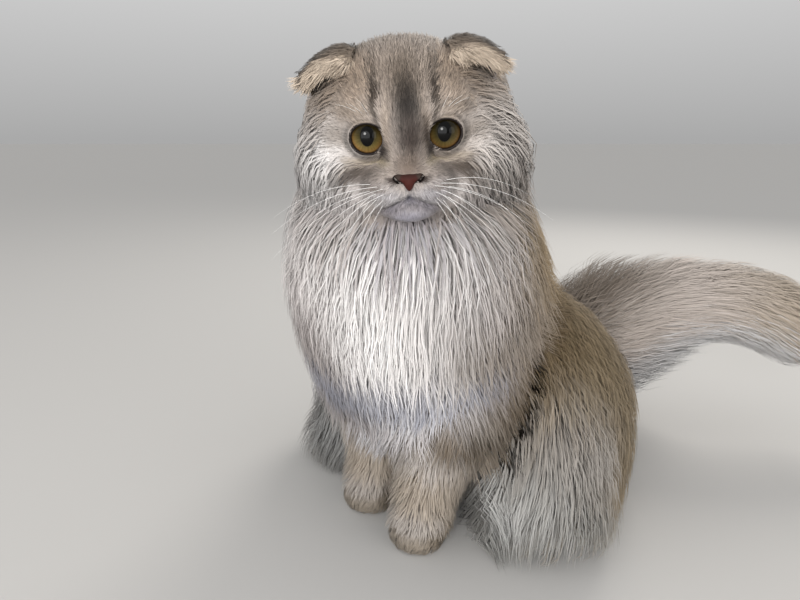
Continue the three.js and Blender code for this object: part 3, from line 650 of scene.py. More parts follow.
def markings_and_painted_shade(points, normals):
    """Colours near the skin and at the tips of the coat, for places on the skin, with painted shade in some
    places.
    """
    count = len(points)
    body, head = to_body(points), to_head(points)
    left, behind, height = body.T
    beside = np.abs(head[:, 0])
    hair = [np.tile(paint(code), (count, 1)) for code in ("a3968b", "bfb3aa")]
    dorsal = np.sum(normals * trunk.over[nearest(trunk, points)], axis=1)
    back = ramp(dorsal, -0.45, 0.65)
    lay(hair, back, ("7c6a4e", "9c845d"))
    flank = ramp(left, 12, 45) * ramp(behind, -20, 34) * (1 - back)
    lay(hair, flank, ("6d6052", "7b6e5d"), 0.9)
    forward = ramp(-(normals @ BACK), -0.25, 0.55) * ramp(-behind, -65, 0)
    lay(hair, forward, ("a89e9a", "a79d9a"))
    high = ramp(height, 206, 238) * ramp(-left, -30, 0) * forward
    lay(hair[1:], high, ["eae2df"])
    middle = forward * np.exp(-(((left - 27) / 34) ** 2)) * ramp(height, 105, 165)
    lay(hair, middle, ("efe9e6", "fcf9f7"))
    edge = forward * ramp(-left, -6, 20) * ramp(-height, -212, -192)
    lay(hair, edge, ("a39a96", "a39a96"), 0.8, 0.9)
    outside = ramp(left, 42, 58) * ramp(-height, -222, -200) * ramp(height, 110, 130)
    lay(hair, outside, ("7f7468", "8a7e71"), 0.7)
    # Painted shade: a bluish-grey band across the lower bib.
    for layer, code, level in zip(hair, ("888d9d", "9297a8"), (141, 160)):
        lay([layer], np.exp(-((height - level) / 13) ** 2) * forward, [code], 0.9)
    low = ramp(-height, -134, -112) * forward
    lay(hair, low, ("d8dae2", "eceef4"), 0.8)
    thigh = near_forms(points, 6, "hindleg_left", "hindleg_right")
    lay(hair, thigh, ("79684f", "8a785b"))
    lay(hair, patch(body[:, 1:], (86, 86), (30, 32)) * thigh, ("938b84", "a49e98"))
    knee = patch(body[:, 1:], (60, 66), (26, 30)) * thigh
    lay(hair, knee, ("8d8983", "a5a39e"), 0.9)
    slope = behind + 0.7 * np.clip(height - 45, 0, 60)
    fringe = ramp(-slope, -112, -80) * ramp(-height, -120, -80) * thigh
    lay(hair, fringe, ("aeaba7", "c0c0be"), 0.9)
    lay(hair[1:], thigh * ramp(-left, 10, 40), ["8a8c8d"], 0.6)
    # Painted shade: darker low on the front of the haunch, near the floor.
    painted_shade_low_haunch = thigh * ramp(-height, -72, -34) * ramp(-behind, -112, -84)
    lay(hair, painted_shade_low_haunch, ("6c6a66", "787672"), 0.85)
    # The flank band: dark brown fur with painted shade, kept off the near haunch.
    folded = np.stack([np.abs(left), behind, height], axis=1) * FLANK_FLATNESS
    clear = 1 - 0.9 * near_forms(points, 12, "hindleg_left") * ramp(-height, -122, -100)
    for layer, code, lift, wide in zip(hair, ("54442f", "5b4a2f"), (0, 9), (21, 22)):
        gap = line_gap(folded - [0, 0, lift], FLANK_BAND * FLANK_FLATNESS)
        lay([layer], np.exp(-((gap / wide) ** 4)) * clear, [code], 0.95)
    arm = near_forms(points, 5, "foreleg_left", "foreleg_right") * ramp(height, 150, 100)
    lay(hair, arm, ("998b7b", "b3a799"))
    elbow = arm * ramp(height, 58, 88) * ramp(-behind, -40, -10)
    lay(hair, elbow, ("bdb8b6", "d0cccb"), 0.7)
    # Dark fur and painted shade at the band's lower end, by the elbow, as on the band.
    lay(hair, patch(body, (48, 24, 100), (16, 24, 17)), ("6a5c4b", "64543f"), 0.9)
    # The paws and the lowest hair: their own colour, darkened as painted shade towards the floor.
    lay(hair, ramp(-height, -34, -12), ("736756", "8a7d6b"), 0.9)
    plume = near_forms(points, 5, "tail") * ramp(points[:, 0], 95, 130)
    lay(hair, plume, ("b0a59b", "cabfb7"))
    lay(hair, plume * ramp(points[:, 0], 250, 340), ("a39583", "b1a28f"), 0.8)
    tuft = plume * ramp(normals[:, 2], 0.35, 0.9) * ramp(-points[:, 0], -245, -205)
    lay(hair, tuft, ("9c8e7d", "4d4134"), 0.85)
    lay(hair[1:], plume * ramp(-normals[:, 2], 0.0, 0.7), ["f0f2f6"], 0.85)
    face = [np.tile(paint(code), (count, 1)) for code in ("9f948b", "b9ada4")]
    lay(face, ramp(head[:, 2], 18, 42), ("7d7268", "978c82"))
    lay(face, ramp(head[:, 1], 16, 46), ("7c6a4e", "8f7b5c"), 0.85)
    bright = ramp(-head[:, 0], 18, 40) * ramp(-head[:, 2], -1, 14)
    lay(face, bright, ("d5ccc9", "ece5e2"), 0.9)
    lay_face_patches(face, head)
    lay(face, ramp(-head[:, 2], 38, 50), ("ece8e7", "faf8f7"))
    # Painted shade under the chin, near the skin.
    painted_shade_under_chin = np.exp(-((head[:, 0] / 22) ** 2) - ((head[:, 2] + 43) / 3.5) ** 2) * ramp(-head[:, 1], 4, 16)
    lay(face[:1], painted_shade_under_chin, ["9a98a3"], 0.5)
    temple = ramp(beside, 32, 40) * ramp(head[:, 2], 16, 24)
    lay(face, temple, ("b3a191", "c3b2a2"))
    ear, share = ear_places(head)
    facing = ramp((normals @ HEAD_TURN)[:, 2], -0.35, 0.05)
    upper = facing * ramp(-share, -0.85, -0.7)
    for code, strength in (
        ("bcab98", 1), ("7a6e62", upper), ("4d453e", upper * ramp(beside, 34, 50)),
        ("cfbeab", facing * ramp(share, 0.78, 0.9)),
    ):
        lay(face, ear * strength, (code, code))
    top = np.maximum(ramp(-head_gap(points), -14, -2), ear)
    for layer, over in zip(hair, face):
        layer += (over - layer) * top[:, None]
    ring = np.minimum(lid_ring(head, 1), lid_ring(head, -1))
    rim = np.exp(-((np.clip(ring - 1.0, 0, 9) / 0.085) ** 2)) * ramp(-head[:, 1], 20, 28) * top
    lay(hair, rim, ("1d1613", "2a201b"))
    # The dark lip line along the mouth, deepened with painted shade in its groove.
    line = line_gap(np.stack([beside, head[:, 2]], axis=1), MOUTH_LINE)
    lip_line_and_painted_shade = np.exp(-((line / 1.8) ** 2)) * ramp(-head[:, 1], 18, 28) * top * ramp(-beside, -17, -7)
    lay(hair, lip_line_and_painted_shade, ("57525a", "75717b"), 0.85, 0.7)
    return hair


def set_sockets(node, values):
    for name, value in values.items():
        node.inputs[name].default_value = value
    return node


def material_of(name, values):
    """A named finish with its shader's own sockets set, and what it takes to add nodes to it."""
    material = bpy.data.materials.new(name)
    material.use_nodes = True
    nodes, links = material.node_tree.nodes, material.node_tree.links
    return material, nodes, links, set_sockets(nodes["Principled BSDF"], values)


def fur_material(name, roughness, streaked):
    """Hair that takes its colour from the coat attribute. On tufts the grain runs along the hair, as
    single hairs do, and on the skin it is a fine nap."""
    material, nodes, links, shader = material_of(name, {
        "Roughness": roughness, "Specular IOR Level": 0.25, "Sheen Weight": 0.1, "Sheen Roughness": 0.45,
    })
    colour = nodes.new("ShaderNodeAttribute")
    colour.attribute_name = "coat"
    place = nodes.new("ShaderNodeUVMap" if streaked else "ShaderNodeTexCoord")
    if streaked:
        place.uv_map = "Strand"
    grain = set_sockets(nodes.new("ShaderNodeTexNoise"), {"Detail": 2, "Scale": 5 if streaked else 900})
    links.new(place.outputs["UV" if streaked else "Object"], grain.inputs["Vector"])
    spread = set_sockets(nodes.new("ShaderNodeMapRange"), {
        "From Min": 0.3, "From Max": 0.7, "To Min": 0.86, "To Max": 1.1,
    })
    links.new(grain.outputs["Fac"], spread.inputs["Value"])
    shaded = nodes.new("ShaderNodeVectorMath")
    shaded.operation = "SCALE"
    links.new(colour.outputs["Color"], shaded.inputs[0])
    links.new(spread.outputs["Result"], shaded.inputs["Scale"])
    links.new(shaded.outputs["Vector"], shader.inputs["Base Color"])
    relief = set_sockets(nodes.new("ShaderNodeBump"), {
        "Strength": 0.4, "Distance": 0.0002 if streaked else 0.0006,
    })
    links.new(grain.outputs["Fac"], relief.inputs["Height"])
    links.new(relief.outputs["Normal"], shader.inputs["Normal"])
    return material


def set_colours(mesh, colours):
    layer = mesh.color_attributes.new("coat", "FLOAT_COLOR", "POINT")
    rgba = np.ones((len(colours), 4), np.float32)
    rgba[:, :3] = colours
    layer.data.foreach_set("color", rgba.ravel())


def points_of(mesh):
    points = np.empty(len(mesh.vertices) * 3, np.float32)
    mesh.vertices.foreach_get("co", points)
    return points.reshape(-1, 3).astype(float) / MM - SHIFT


skin_points = points_of(skin.data)
skin_normals = np.empty(len(skin_points) * 3, np.float32)
skin.data.vertices.foreach_get("normal", skin_normals)
skin_normals = skin_normals.reshape(-1, 3).astype(float)
set_colours(skin.data, markings_and_painted_shade(skin_points, skin_normals)[0])
skin_material = fur_material("skin with short fur", 0.7, False)
skin.data.materials.clear()
skin.data.materials.append(skin_material)
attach(skin, "root")
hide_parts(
    "head", "ear_left", "ear_right", "neck", "torso", "foreleg_left", "foreleg_right",
    "forepaw_left", "forepaw_right", "hindleg_left", "hindleg_right", "hindpaw_left", "hindpaw_right",
    "tail_base", "tail_middle", "tail_tip",
)

# The coat's tufts: long fine hair that grows from the skin and clings together. Each tuft is a closed
# blade of three faces, drawn to a point at its root and its tip. It creeps along the lie of the hair,
# rises to the coat's depth and is gathered with its neighbours into wisps.
MAP_PATCH = 0.003
HAIR_FLOOR = 1.0
RISE_BEND = 2.5
TUFT_ROLL = 0.4
TUFT_CREST = 0.5
TIP_FADE = 0.8
SOFTNESS = 0.93
TUFT_SHAPE = ([0, 0.2, 0.45, 0.75, 1], [0.8, 1.0, 0.95, 0.55, 0.1])

skin.data.calc_loop_triangles()
facets = np.empty(len(skin.data.loop_triangles) * 3, np.int32)
skin.data.loop_triangles.foreach_get("vertices", facets)
facets = facets.reshape(-1, 3)
a, b, c = (skin_points[facets[:, k]] for k in range(3))
facet_middle = (a + b + c) / 3
facet_area = np.linalg.norm(np.cross(b - a, c - a), axis=1) / 2
facet_normal = unit(np.cross(b - a, c - a))
part_gaps = {name: limb_gap(form, facet_middle) for name, form in LIMBS.items()}
part_gaps.update({name: paw_gap(name, facet_middle) for name in PAWS})
part_gaps["head"] = head_gap(facet_middle)
part_names = list(part_gaps)
part_of = np.argmin(np.stack([part_gaps[name] for name in part_names]), axis=0)
in_head = to_head(facet_middle)
ear_nets = {side: from_head(ear_sheet(side, 14, 14).reshape(-1, 3)) for side in (1, -1)}
ear_off = np.min([
    np.min(np.linalg.norm(facet_middle[:, None] - net[None], axis=2), axis=1) for net in ear_nets.values()
], axis=0)
on_ear = (ear_off < 4.5) & (part_gaps["head"] > 0.4)
second_gap = np.partition(np.stack(list(part_gaps.values())), 1, axis=0)[1]


def is_part(*names):
    return np.isin(part_of, [part_names.index(name) for name in names]) & ~on_ear


def sow(count, weight, chance):
    """Roots spread over the skin, as thick as weight says."""
    share = facet_area * weight
    pick = chance.choice(len(facets), count, p=share / share.sum())
    u, v = chance.random((2, count))
    flip = u + v > 1
    u[flip], v[flip] = 1 - u[flip], 1 - v[flip]
    a, b, c = (skin_points[facets[pick, k]] for k in range(3))
    na, nb, nc = (skin_normals[facets[pick, k]] for k in range(3))
    points = a + u[:, None] * (b - a) + v[:, None] * (c - a)
    return points, unit(na + u[:, None] * (nb - na) + v[:, None] * (nc - na))


def grow(roots, normals, lie, length, depth, steps, over, sink=1.2):
    """Paths of hair and the way up at each step, from the roots to the tips."""
    paths, ups = [roots - normals * sink], [normals]
    start = over(roots)[0]
    place = roots.copy()
    for step in range(1, steps + 1):
        share = step / steps
        up = over(place)[1] if step > 1 else normals
        way = lie(place, up, share)
        way = unit(way - up * np.sum(way * up, axis=1)[:, None])
        place = place + way * (length / steps)[:, None]
        gap, up = over(place)
        rise = depth * (1 - (1 - share) ** RISE_BEND)
        place = place + up * (rise + start - gap)[:, None]
        place[:, 2] = np.maximum(place[:, 2], HAIR_FLOOR)
        paths.append(place.copy())
        ups.append(up)
    return np.stack(paths, axis=1), np.stack(ups, axis=1)


def gather(paths, each, pull, chance):
    """Draws strands toward a leader nearby, more and more out to the tips."""
    count, steps = paths.shape[:2]
    leaders = chance.choice(count, max(count // each, 1), replace=False)
    tree = kdtree.KDTree(len(leaders))
    for i, leader in enumerate(leaders):
        tree.insert(paths[leader, 0], i)
    tree.balance()
    follow = leaders[np.array([tree.find(root)[1] for root in paths[:, 0]])]
    strength = pull * chance.uniform(0.5, 1.15, count)
    for step in range(1, steps):
        share = np.clip(strength * (step / (steps - 1)) ** 1.2, 0, 0.97)
        paths[:, step] += (paths[follow, step] - paths[:, step]) * share[:, None]
    return follow


def wave(paths, ups, follow, size, turns, chance):
    """Bends the strands from side to side, alike within a wisp."""
    steps = paths.shape[1]
    phase = chance.uniform(0, 2 * math.pi, len(paths))[follow] + chance.normal(0, 0.3, len(paths))
    along = unit(np.gradient(paths, axis=1))
    side = np.cross(along, ups)
    share = np.arange(steps) / (steps - 1)
    swing = np.sin(2 * math.pi * turns * share[None] + phase[:, None]) - np.sin(phase)[:, None]
    paths += side * (size * share[None] ** 0.8 * swing)[..., None]


def coat(
    name, roots, normals, paths, ups, width, chance,
    slot="coat", ticking=0.0, tones=None, mottle=0.06, lean=0.0,
):
    """Makes the solid tufts of one piece of the coat and dresses them. The map OFBake keeps each tuft
    in a small patch at its root's place on the unrolled skin."""
    count, steps = paths.shape[:2]
    along = unit(np.gradient(paths, axis=1))
    side = unit(np.cross(along, ups))
    above = np.cross(side, along)
    roll = chance.uniform(-TUFT_ROLL, TUFT_ROLL, count)[:, None, None]
    across = side * np.cos(roll) + above * np.sin(roll)
    crest = above * np.cos(roll) - side * np.sin(roll)
    shares = np.linspace(0, 1, steps)
    half = width / 2 * chance.uniform(0.7, 1.25, count)[:, None] * np.interp(shares, *TUFT_SHAPE)[None]
    half = half[:, 1:-1, None]
    middle = slice(1, -1)
    rings = np.stack([
        paths[:, middle] - across[:, middle] * half,
        paths[:, middle] + across[:, middle] * half,
        paths[:, middle] + crest[:, middle] * half * TUFT_CREST,
    ], axis=2)
    points = np.concatenate([paths[:, :1], rings.reshape(count, -1, 3), paths[:, -1:]], axis=1)
    per = points.shape[1]
    blade = []
    for p, q in ((0, 1), (1, 2), (2, 0)):
        blade.append([0, 1 + p, 1 + q])
        for ring in range(steps - 3):
            here, there = 1 + ring * 3, 4 + ring * 3
            blade += [[here + p, there + q, here + q], [here + p, there + p, there + q]]
        last = 1 + (steps - 3) * 3
        blade.append([last + p, per - 1, last + q])
    faces = (np.array(blade)[None] + per * np.arange(count)[:, None, None]).reshape(-1, 3)
    root, tip = markings_and_painted_shade(roots, normals)
    tone = chance.normal(1, mottle, count) if tones is None else tones
    ticked = (chance.random(count) < ticking)[:, None]
    tip = np.where(ticked, tip * 0.5, tip)
    reached = np.concatenate([[0], np.repeat(shares[1:-1], 3), [1]])
    share = reached[None, :, None] ** TIP_FADE
    colours = (root[:, None] * (1 - share) + tip[:, None] * share) * tone[:, None, None]
    mesh = mesh_of(name, points.reshape(-1, 3), faces)
    set_colours(mesh, np.clip(colours, 0.004, 1).reshape(-1, 3))
    bake = mesh.uv_layers.new(name="OFBake")
    spread = roots - points.mean(axis=(0, 1))
    where = np.stack([np.arctan2(spread @ BACK, spread @ LEFT) / (2 * math.pi) + 0.5, roots[:, 2]], axis=1)
    where = (where - where.min(axis=0)) / np.ptp(where, axis=0) * (1 - 2 * MAP_PATCH) + MAP_PATCH
    within = np.zeros((per, 2))
    within[1:-1, 0] = np.tile([-0.5, 0.5, 0.0], steps - 2)
    within[:, 1] = reached - 0.5
    spots = where[:, None] + within[None] * MAP_PATCH
    bake.data.foreach_set("uv", spots.reshape(-1, 2)[faces.ravel()].astype(np.float32).ravel())
    strand = mesh.uv_layers.new(name="Strand")
    streak = np.tile(within * [width * 1.2, 0.5], (count, 1, 1)) + chance.uniform(0, 50, (count, 1, 2))
    strand.data.foreach_set("uv", streak.reshape(-1, 2)[faces.ravel()].astype(np.float32).ravel())
    sideways = np.array([-0.8, 0.8, 0])[None, None, :, None]
    rounded = crest[:, middle][:, :, None] + sideways * across[:, middle][:, :, None]
    rounded = np.concatenate([ups[:, :1], rounded.reshape(count, -1, 3), ups[:, -1:]], axis=1)
    upward = np.concatenate([ups[:, :1], np.repeat(ups[:, middle], 3, axis=1), ups[:, -1:]], axis=1)
    off = to_body(roots)[:, 0]
    upward = unit(upward + LEFT * (lean * (ramp(off, 10, 40) - ramp(-off, 10, 40)))[:, None, None])
    soft = unit(unit(rounded) * (1 - SOFTNESS) + upward * SOFTNESS)
    mesh.normals_split_custom_set_from_vertices(soft.reshape(-1, 3).astype(np.float32))
    made = object_of(name, mesh)
    made.data.materials.append(coat_material)
    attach(made, "root")


coat_material = fur_material("long soft fur", 0.6, True)


# The long hair of the trunk: a pale bib down the chest, a ruff round the neck and the hair of the
# back. It grows from the skin, runs back along the spine and hangs down the front.
def lie_of(form, fall, outward=0.0, forward=0.0):
    def lie(points, up, share):
        near = nearest(form, points)
        return form.along[near] + DOWN * fall + up * outward - BACK * forward
    return lie


def trunk_lie(points, up, share):
    near = nearest(trunk, points)
    belly = np.clip(-np.sum(up * trunk.over[near], axis=1), 0, 1)
    return trunk.along[near] * 0.7 + DOWN * (0.3 + 0.8 * belly)[:, None]


facet_spine = nearest(trunk, facet_middle)
facet_dorsal = np.sum(facet_normal * trunk.over[facet_spine], axis=1)
facet_share = facet_spine / (len(trunk.centre) - 1)
above_floor = ramp(facet_middle[:, 2], 2, 6)


def long_coat(
    name, seed, count, weight, length, depth, lie, steps, width, gathers, curl=None, stray=0.12, **dress,
):
    """Long hair over the body: length and depth are numbers or follow the place of the root."""
    chance = np.random.default_rng(seed)
    roots, normals = sow(count, weight * above_floor, chance)
    length = length(roots) if callable(length) else np.full(count, float(length))
    depth = depth(roots) if callable(depth) else np.full(count, float(depth))
    length *= chance.uniform(0.7, 1.12, count)
    depth *= chance.beta(9, 2.2, count) * 1.2
    turn = np.clip(chance.normal(0, stray, (count, 3)), -2 * stray, 2 * stray)

    def strayed(points, up, share):
        return unit(lie(points, up, share)) + turn

    paths, ups = grow(roots, normals, strayed, length, depth, steps, over_body)
    tones = chance.normal(1, 0.035, count)
    for each, pull in gathers:
        follow = gather(paths, each, pull, chance)
        tones *= chance.normal(1, 0.03, count)[follow]
    if curl:
        wave(paths, ups, follow, *curl, chance)
    paths[..., 2] = np.maximum(paths[..., 2], HAIR_FLOOR)
    last = np.linalg.norm(paths[:, -1] - paths[:, -2], axis=1)
    keep = last < 2 * np.median(last)
    kept = (array[keep] for array in (roots, normals, paths, ups))
    coat(name, *kept, width, chance, tones=tones[keep], **dress)


WISPS = [(6, 0.2), (45, 0.2)]
on_trunk = is_part("torso")
front = ramp(-facet_dorsal, -0.2, 0.4)
neck = ramp(-facet_share, -0.34, -0.2)


def above_band(roots):
    """How far a root lies from the flank's dark band, which only shows on the near side."""
    return line_gap(to_body(roots), FLANK_BAND)


def front_length(roots):
    """Shorter towards the flank, so that the dark band shows below the ruff, and over the elbows."""
    low = ramp(-to_body(roots)[:, 2], -125, -90)
    near = ramp(to_body(roots)[:, 0], 24, 50)
    return 56 + (np.clip(above_band(roots) - 16, 26, 56) - 56) * near - 4 * low


def front_depth(roots):
    low = ramp(-to_body(roots)[:, 2], -130, -90)
    near = ramp(to_body(roots)[:, 0], 24, 50)
    return 30 * (1 - 0.5 * near * ramp(-above_band(roots), -75, -12)) * (1 - 0.35 * low)


long_coat(
    "coat_bib", 31, 9600, on_trunk * front,
    front_length, front_depth, trunk_lie, 4, 1.1, WISPS, curl=(3.2, 1.2),
)


def ruff_depth(roots):
    local = to_body(roots)
    return (front_depth(roots) / 30) * (33 + 6 * ramp(local[:, 0], 10, 40) * ramp(local[:, 2], 150, 190))


long_coat(
    "coat_ruff", 32, 11200, on_trunk * neck * (1.2 - front),
    front_length, ruff_depth, trunk_lie, 3, 1.0, WISPS, curl=(1.8, 0.8), lean=0.8,
)
long_coat(
    "coat_back", 33, 8500, on_trunk * (1 - neck * 0.85) * (1.05 - front),
    44, 26, trunk_lie, 3, 1.3, WISPS, lean=0.8,
)


# The hair of the legs: deep on the haunches, where it falls forward over the knees, and shorter down
# the forelegs to the feet. It grows from the skin and runs down each leg.
def thigh_depth(roots):
    """Deep below the knee of the near leg, and thin on the far one, which the body's weight presses."""
    local = to_body(roots)
    low_front = ramp(-local[:, 1], -115, -85)
    near = ramp(local[:, 0], -20, 20)
    return np.interp(roots[:, 2], [5, 40, 110, 150], [16, 28, 28, 22]) * (1 + 0.7 * low_front * near)


def thigh_length(roots):
    low_front = ramp(-to_body(roots)[:, 1], -115, -85) * ramp(-roots[:, 2], -90, -50)
    return 40 + 12 * low_front


def thigh_lie(thigh):
    def lie(points, up, share):
        low = ramp(-points[:, 2], -80, -30)
        return thigh.along[nearest(thigh, points)] + DOWN * 0.7 - BACK * (0.25 + 0.6 * low)[:, None]
    return lie


def arm_depth(roots):
    return np.interp(roots[:, 2], [15, 40, 80, 120], [5.5, 11, 17, 20])


def arm_length(roots):
    return np.interp(roots[:, 2], [15, 40, 80, 120], [10, 19, 30, 38])


for side, name in ((1, "left"), (-1, "right")):
    thigh, arm = LIMBS["hindleg_" + name], LIMBS["foreleg_" + name]
    on_thigh = is_part("hindleg_" + name, "foot_" + name) * (0.7 + 0.3 * ramp(second_gap, 0.5, 5))
    count = 12500 if side > 0 else 6500
    long_coat(
        "coat_hind_" + name, 34 + side, count, on_thigh,
        thigh_length, thigh_depth, thigh_lie(thigh), 3, 1.1, WISPS, lean=0.8,
    )
    long_coat(
        "coat_foreleg_" + name, 37 + side, 4500, is_part("foreleg_" + name) * 1.0,
        arm_length, arm_depth, lie_of(arm, 0.5), 3, 0.85, [(6, 0.5)],
    )


# The fold between ruff, foreleg and haunch on the near side is filled by hair that stands out of it
# and falls like a curtain, level with the coat on either side.
def fold_coat(name, seed, count, weight, length, lift, facing, fall):
    chance = np.random.default_rng(seed)
    roots, normals = sow(count, weight, chance)
    way = unit(fall + chance.normal(0, 0.14, (count, 3)))
    long = length * chance.uniform(0.7, 1.15, count)[:, None]
    rise = lift * chance.beta(9, 2.2, count)[:, None] * 1.2
    paths = np.stack([
        roots - normals * (step == 0) + way * long * step / 3 + facing * rise * (1 - (1 - step / 3) ** 2.2)
        for step in range(4)
    ], axis=1)
    gather(paths, 6, 0.25, chance)
    paths[..., 2] = np.maximum(paths[..., 2], HAIR_FLOOR)
    ups = np.tile(facing, (count, 4, 1))
    # Tufts near the flank band are darker: dark fur with painted shade, as on the band.
    dark = np.exp(-((line_gap(to_body(roots), FLANK_BAND) / 24) ** 2))
    tones = chance.normal(1, 0.05, count) * (1 - 0.5 * dark)
    coat(name, roots, normals, paths, ups, 1.1, chance, tones=tones)


in_body = to_body(facet_middle)
fold = is_part("torso", "hindleg_left", "foreleg_left") * np.exp(-((second_gap / 10) ** 2))
fold *= ramp(in_body[:, 0], 24, 40) * ramp(in_body[:, 2], 40, 62) * ramp(-in_body[:, 2], -172, -150)
fold *= ramp(-in_body[:, 1], -130, -112)
fold_coat("coat_flank", 44, 7000, fold, 36, 27, unit(LEFT * 0.9 - BACK * 0.5), DOWN + 0.3 * BACK)


# The plume of the tail: long hair that grows all round the bone of the tail and sweeps out to its
# tip. It stands up over the tail's root and hangs below, and its two lengths overlap in the middle.
tail_near = nearest(tail, facet_middle) / (len(tail.centre) - 1)


def plume_depth(roots):
    """Deepest where the hair stands up over the tail's root and where it hangs below."""
    near = nearest(tail, roots) / (len(tail.centre) - 1)
    up = (roots - tail.centre[nearest(tail, roots)])[:, 2] / 12
    above = np.clip(up, 0, 1) * np.interp(roots[:, 0], [110, 150, 195, 235, 275], [4, 30, 38, 14, 0])
    below = np.clip(-up, 0, 1) * np.interp(near, [0.1, 0.22, 0.36, 0.5], [8, 38, 32, 0])
    return 29 + above + below


for name, seed, count, weight in (
    ("coat_tail_base", 41, 9000, tail_near < 0.52),
    ("coat_tail_end", 42, 7200, tail_near >= 0.48),
):
    long_coat(
        name, seed, count, is_part("tail") * weight,
        60, plume_depth, lie_of(tail, 0.12), 3, 1.1, WISPS, slot="tail",
    )


# The paws' short dense hair, which lies forward over the toes and down to the ground.
def toe_lie(points, up, share):
    return np.tile(-BACK + DOWN * 0.6, (len(points), 1))


long_coat("coat_paws", 43, 6000, is_part(*PAWS) * 1.0, 8, 3.6, toe_lie, 2, 0.75, [(6, 0.4)], slot="paw")


# The face's short fur parts at the nose and runs back over the cheeks and up over the brow. It is
# finest round the nose and eyes and grows longer out to the cheeks.
NOSE_TOP = np.array([0.0, -60.0, -12.0])


def face_lie(points, up, share):
    local = to_head(points)
    way = unit(local - NOSE_TOP)
    way[:, 2] -= 0.55 * ramp(-local[:, 2], 6, 26)
    way[:, 1] += 0.9 * ramp(local[:, 2], 14, 34)
    side = ramp(np.abs(local[:, 0]), 26, 44)
    way[:, 1] += 0.4 * side
    way[:, 2] -= 0.45 * side
    return way @ HEAD_TURN.T


def short_coat(name, seed, count, weight, lengths, depths, steps, width, gathers, **dress):
    """Fur whose length and depth grow with the distance from the nose."""
    chance = np.random.default_rng(seed)
    roots, normals = sow(count, weight, chance)
    local = to_head(roots)
    ring = np.minimum(lid_ring(local, 1), lid_ring(local, -1))
    ring = np.where(local[:, 1] > -24, 9, ring)
    keep = ring > 1.075
    roots, normals, local, ring = roots[keep], normals[keep], local[keep], ring[keep]
    count = len(roots)
    far = np.linalg.norm(local - NOSE_TOP, axis=1)
    close = np.clip((ring - 1.0) / 0.5, 0.55, 1)
    close = close * (1 + 0.8 * ramp(-local[:, 2], 36, 46))
    length = np.interp(far, *lengths) * chance.uniform(0.7, 1.15, count) * close
    depth = np.interp(far, *depths) * chance.uniform(0.7, 1.05, count) * close
    turn = chance.normal(0, 0.16, (count, 3))

    def strayed(points, up, share):
        return unit(face_lie(points, up, share)) + turn

    paths, ups = grow(roots, normals, strayed, length, depth, steps, over_face, sink=0.5)
    for each, pull in gathers:
        gather(paths, each, pull, chance)
    coat(name, roots, normals, paths, ups, width, chance, slot="face", **dress)


on_head = is_part("head")
front_face = ramp(-in_head[:, 1], 2, 18)
nearby = np.linalg.norm(in_head - NOSE_TOP, axis=1)
SHORT_LENGTHS = ([0, 8, 18, 35, 48, 60, 75, 110], [2.0, 3.6, 6.2, 9.5, 14, 21, 27, 30])
SHORT_DEPTHS = ([0, 8, 18, 35, 48, 60, 75, 110], [0.6, 1.0, 1.8, 3.0, 4.4, 7, 10, 13])
muzzle = ramp(-nearby, -34, -26)
high = ramp(in_head[:, 2], 8, 20)
for name, seed, count, weight, width, pull, dress in (
    (
        "coat_muzzle", 51, 14000, (nearby > 4.5) * (muzzle + 0.001), 0.5, 0.35,
        {"ticking": 0.12, "mottle": 0.14},
    ),
    (
        "coat_brow", 52, 13500, front_face * (1 - muzzle) * high, 0.65, 0.45,
        {"ticking": 0.22, "mottle": 0.16},
    ),
    ("coat_cheeks", 53, 19000, front_face * (1 - muzzle) * (1 - high), 0.65, 0.25, {"mottle": 0.07}),
):
    short_coat(
        name, seed, count, on_head * weight,
        SHORT_LENGTHS, SHORT_DEPTHS, 2, width, [(7, pull)], **dress,
    )
CROWN_LENGTHS = ([0, 60, 80, 130], [9, 12, 18, 28])
CROWN_DEPTHS = ([0, 60, 80, 130], [4, 6, 8, 14])
on_crown = on_head * (1 - front_face) * high
short_coat("coat_crown", 54, 5000, on_crown, CROWN_LENGTHS, CROWN_DEPTHS, 2, 0.9, [(8, 0.6)])


# The mane: long hair from behind the cheeks and under the ears that sweeps back and falls into the
# ruff, so that head and neck run into each other.
def mane_lie(points, up, share):
    way = unit(to_head(points) - NOSE_TOP) @ HEAD_TURN.T
    return way + DOWN * (0.35 + 1.1 * share)


def mane_length(roots):
    local = to_head(roots)
    away = np.linalg.norm(local - NOSE_TOP, axis=1)
    return np.interp(away, [35, 55, 75, 95], [14, 26, 42, 52]) * (1 - 0.35 * ramp(local[:, 2], 4, 22))


def mane_depth(roots):
    """Deepest low on the cheeks, where they stand out over the ruff."""
    local = to_head(roots)
    deep = np.interp(np.linalg.norm(local - NOSE_TOP, axis=1), [35, 52, 65, 90, 120], [2.5, 6, 13, 23, 22])
    chin = ramp(-local[:, 2], 36, 44) * ramp(-np.abs(local[:, 0]), -26, -10) * ramp(-local[:, 1], 0, 20)
    return deep * (1.4 - 0.7 * ramp(local[:, 2], -8, 22)) * (1 + 0.45 * ramp(local[:, 0], 20, 45)) + 7 * chin


behind = ramp(in_head[:, 1], -32, -10) * ramp(-in_head[:, 2], -36, -22)
behind += 1.5 * ramp(in_head[:, 1], -40, -32) * ramp(-in_head[:, 2], 30, 38)
behind += 0.7 * ramp(np.abs(in_head[:, 0]), 24, 36) * ramp(-in_head[:, 2], 0, 14)
by_eye = np.minimum(lid_ring(in_head, 1), lid_ring(in_head, -1)) < 1.6
behind *= ~(by_eye & (in_head[:, 1] < -18))
long_coat(
    "coat_mane", 55, 11200, on_head * behind,
    mane_length, mane_depth, mane_lie, 3, 1.0, WISPS, slot="face",
)


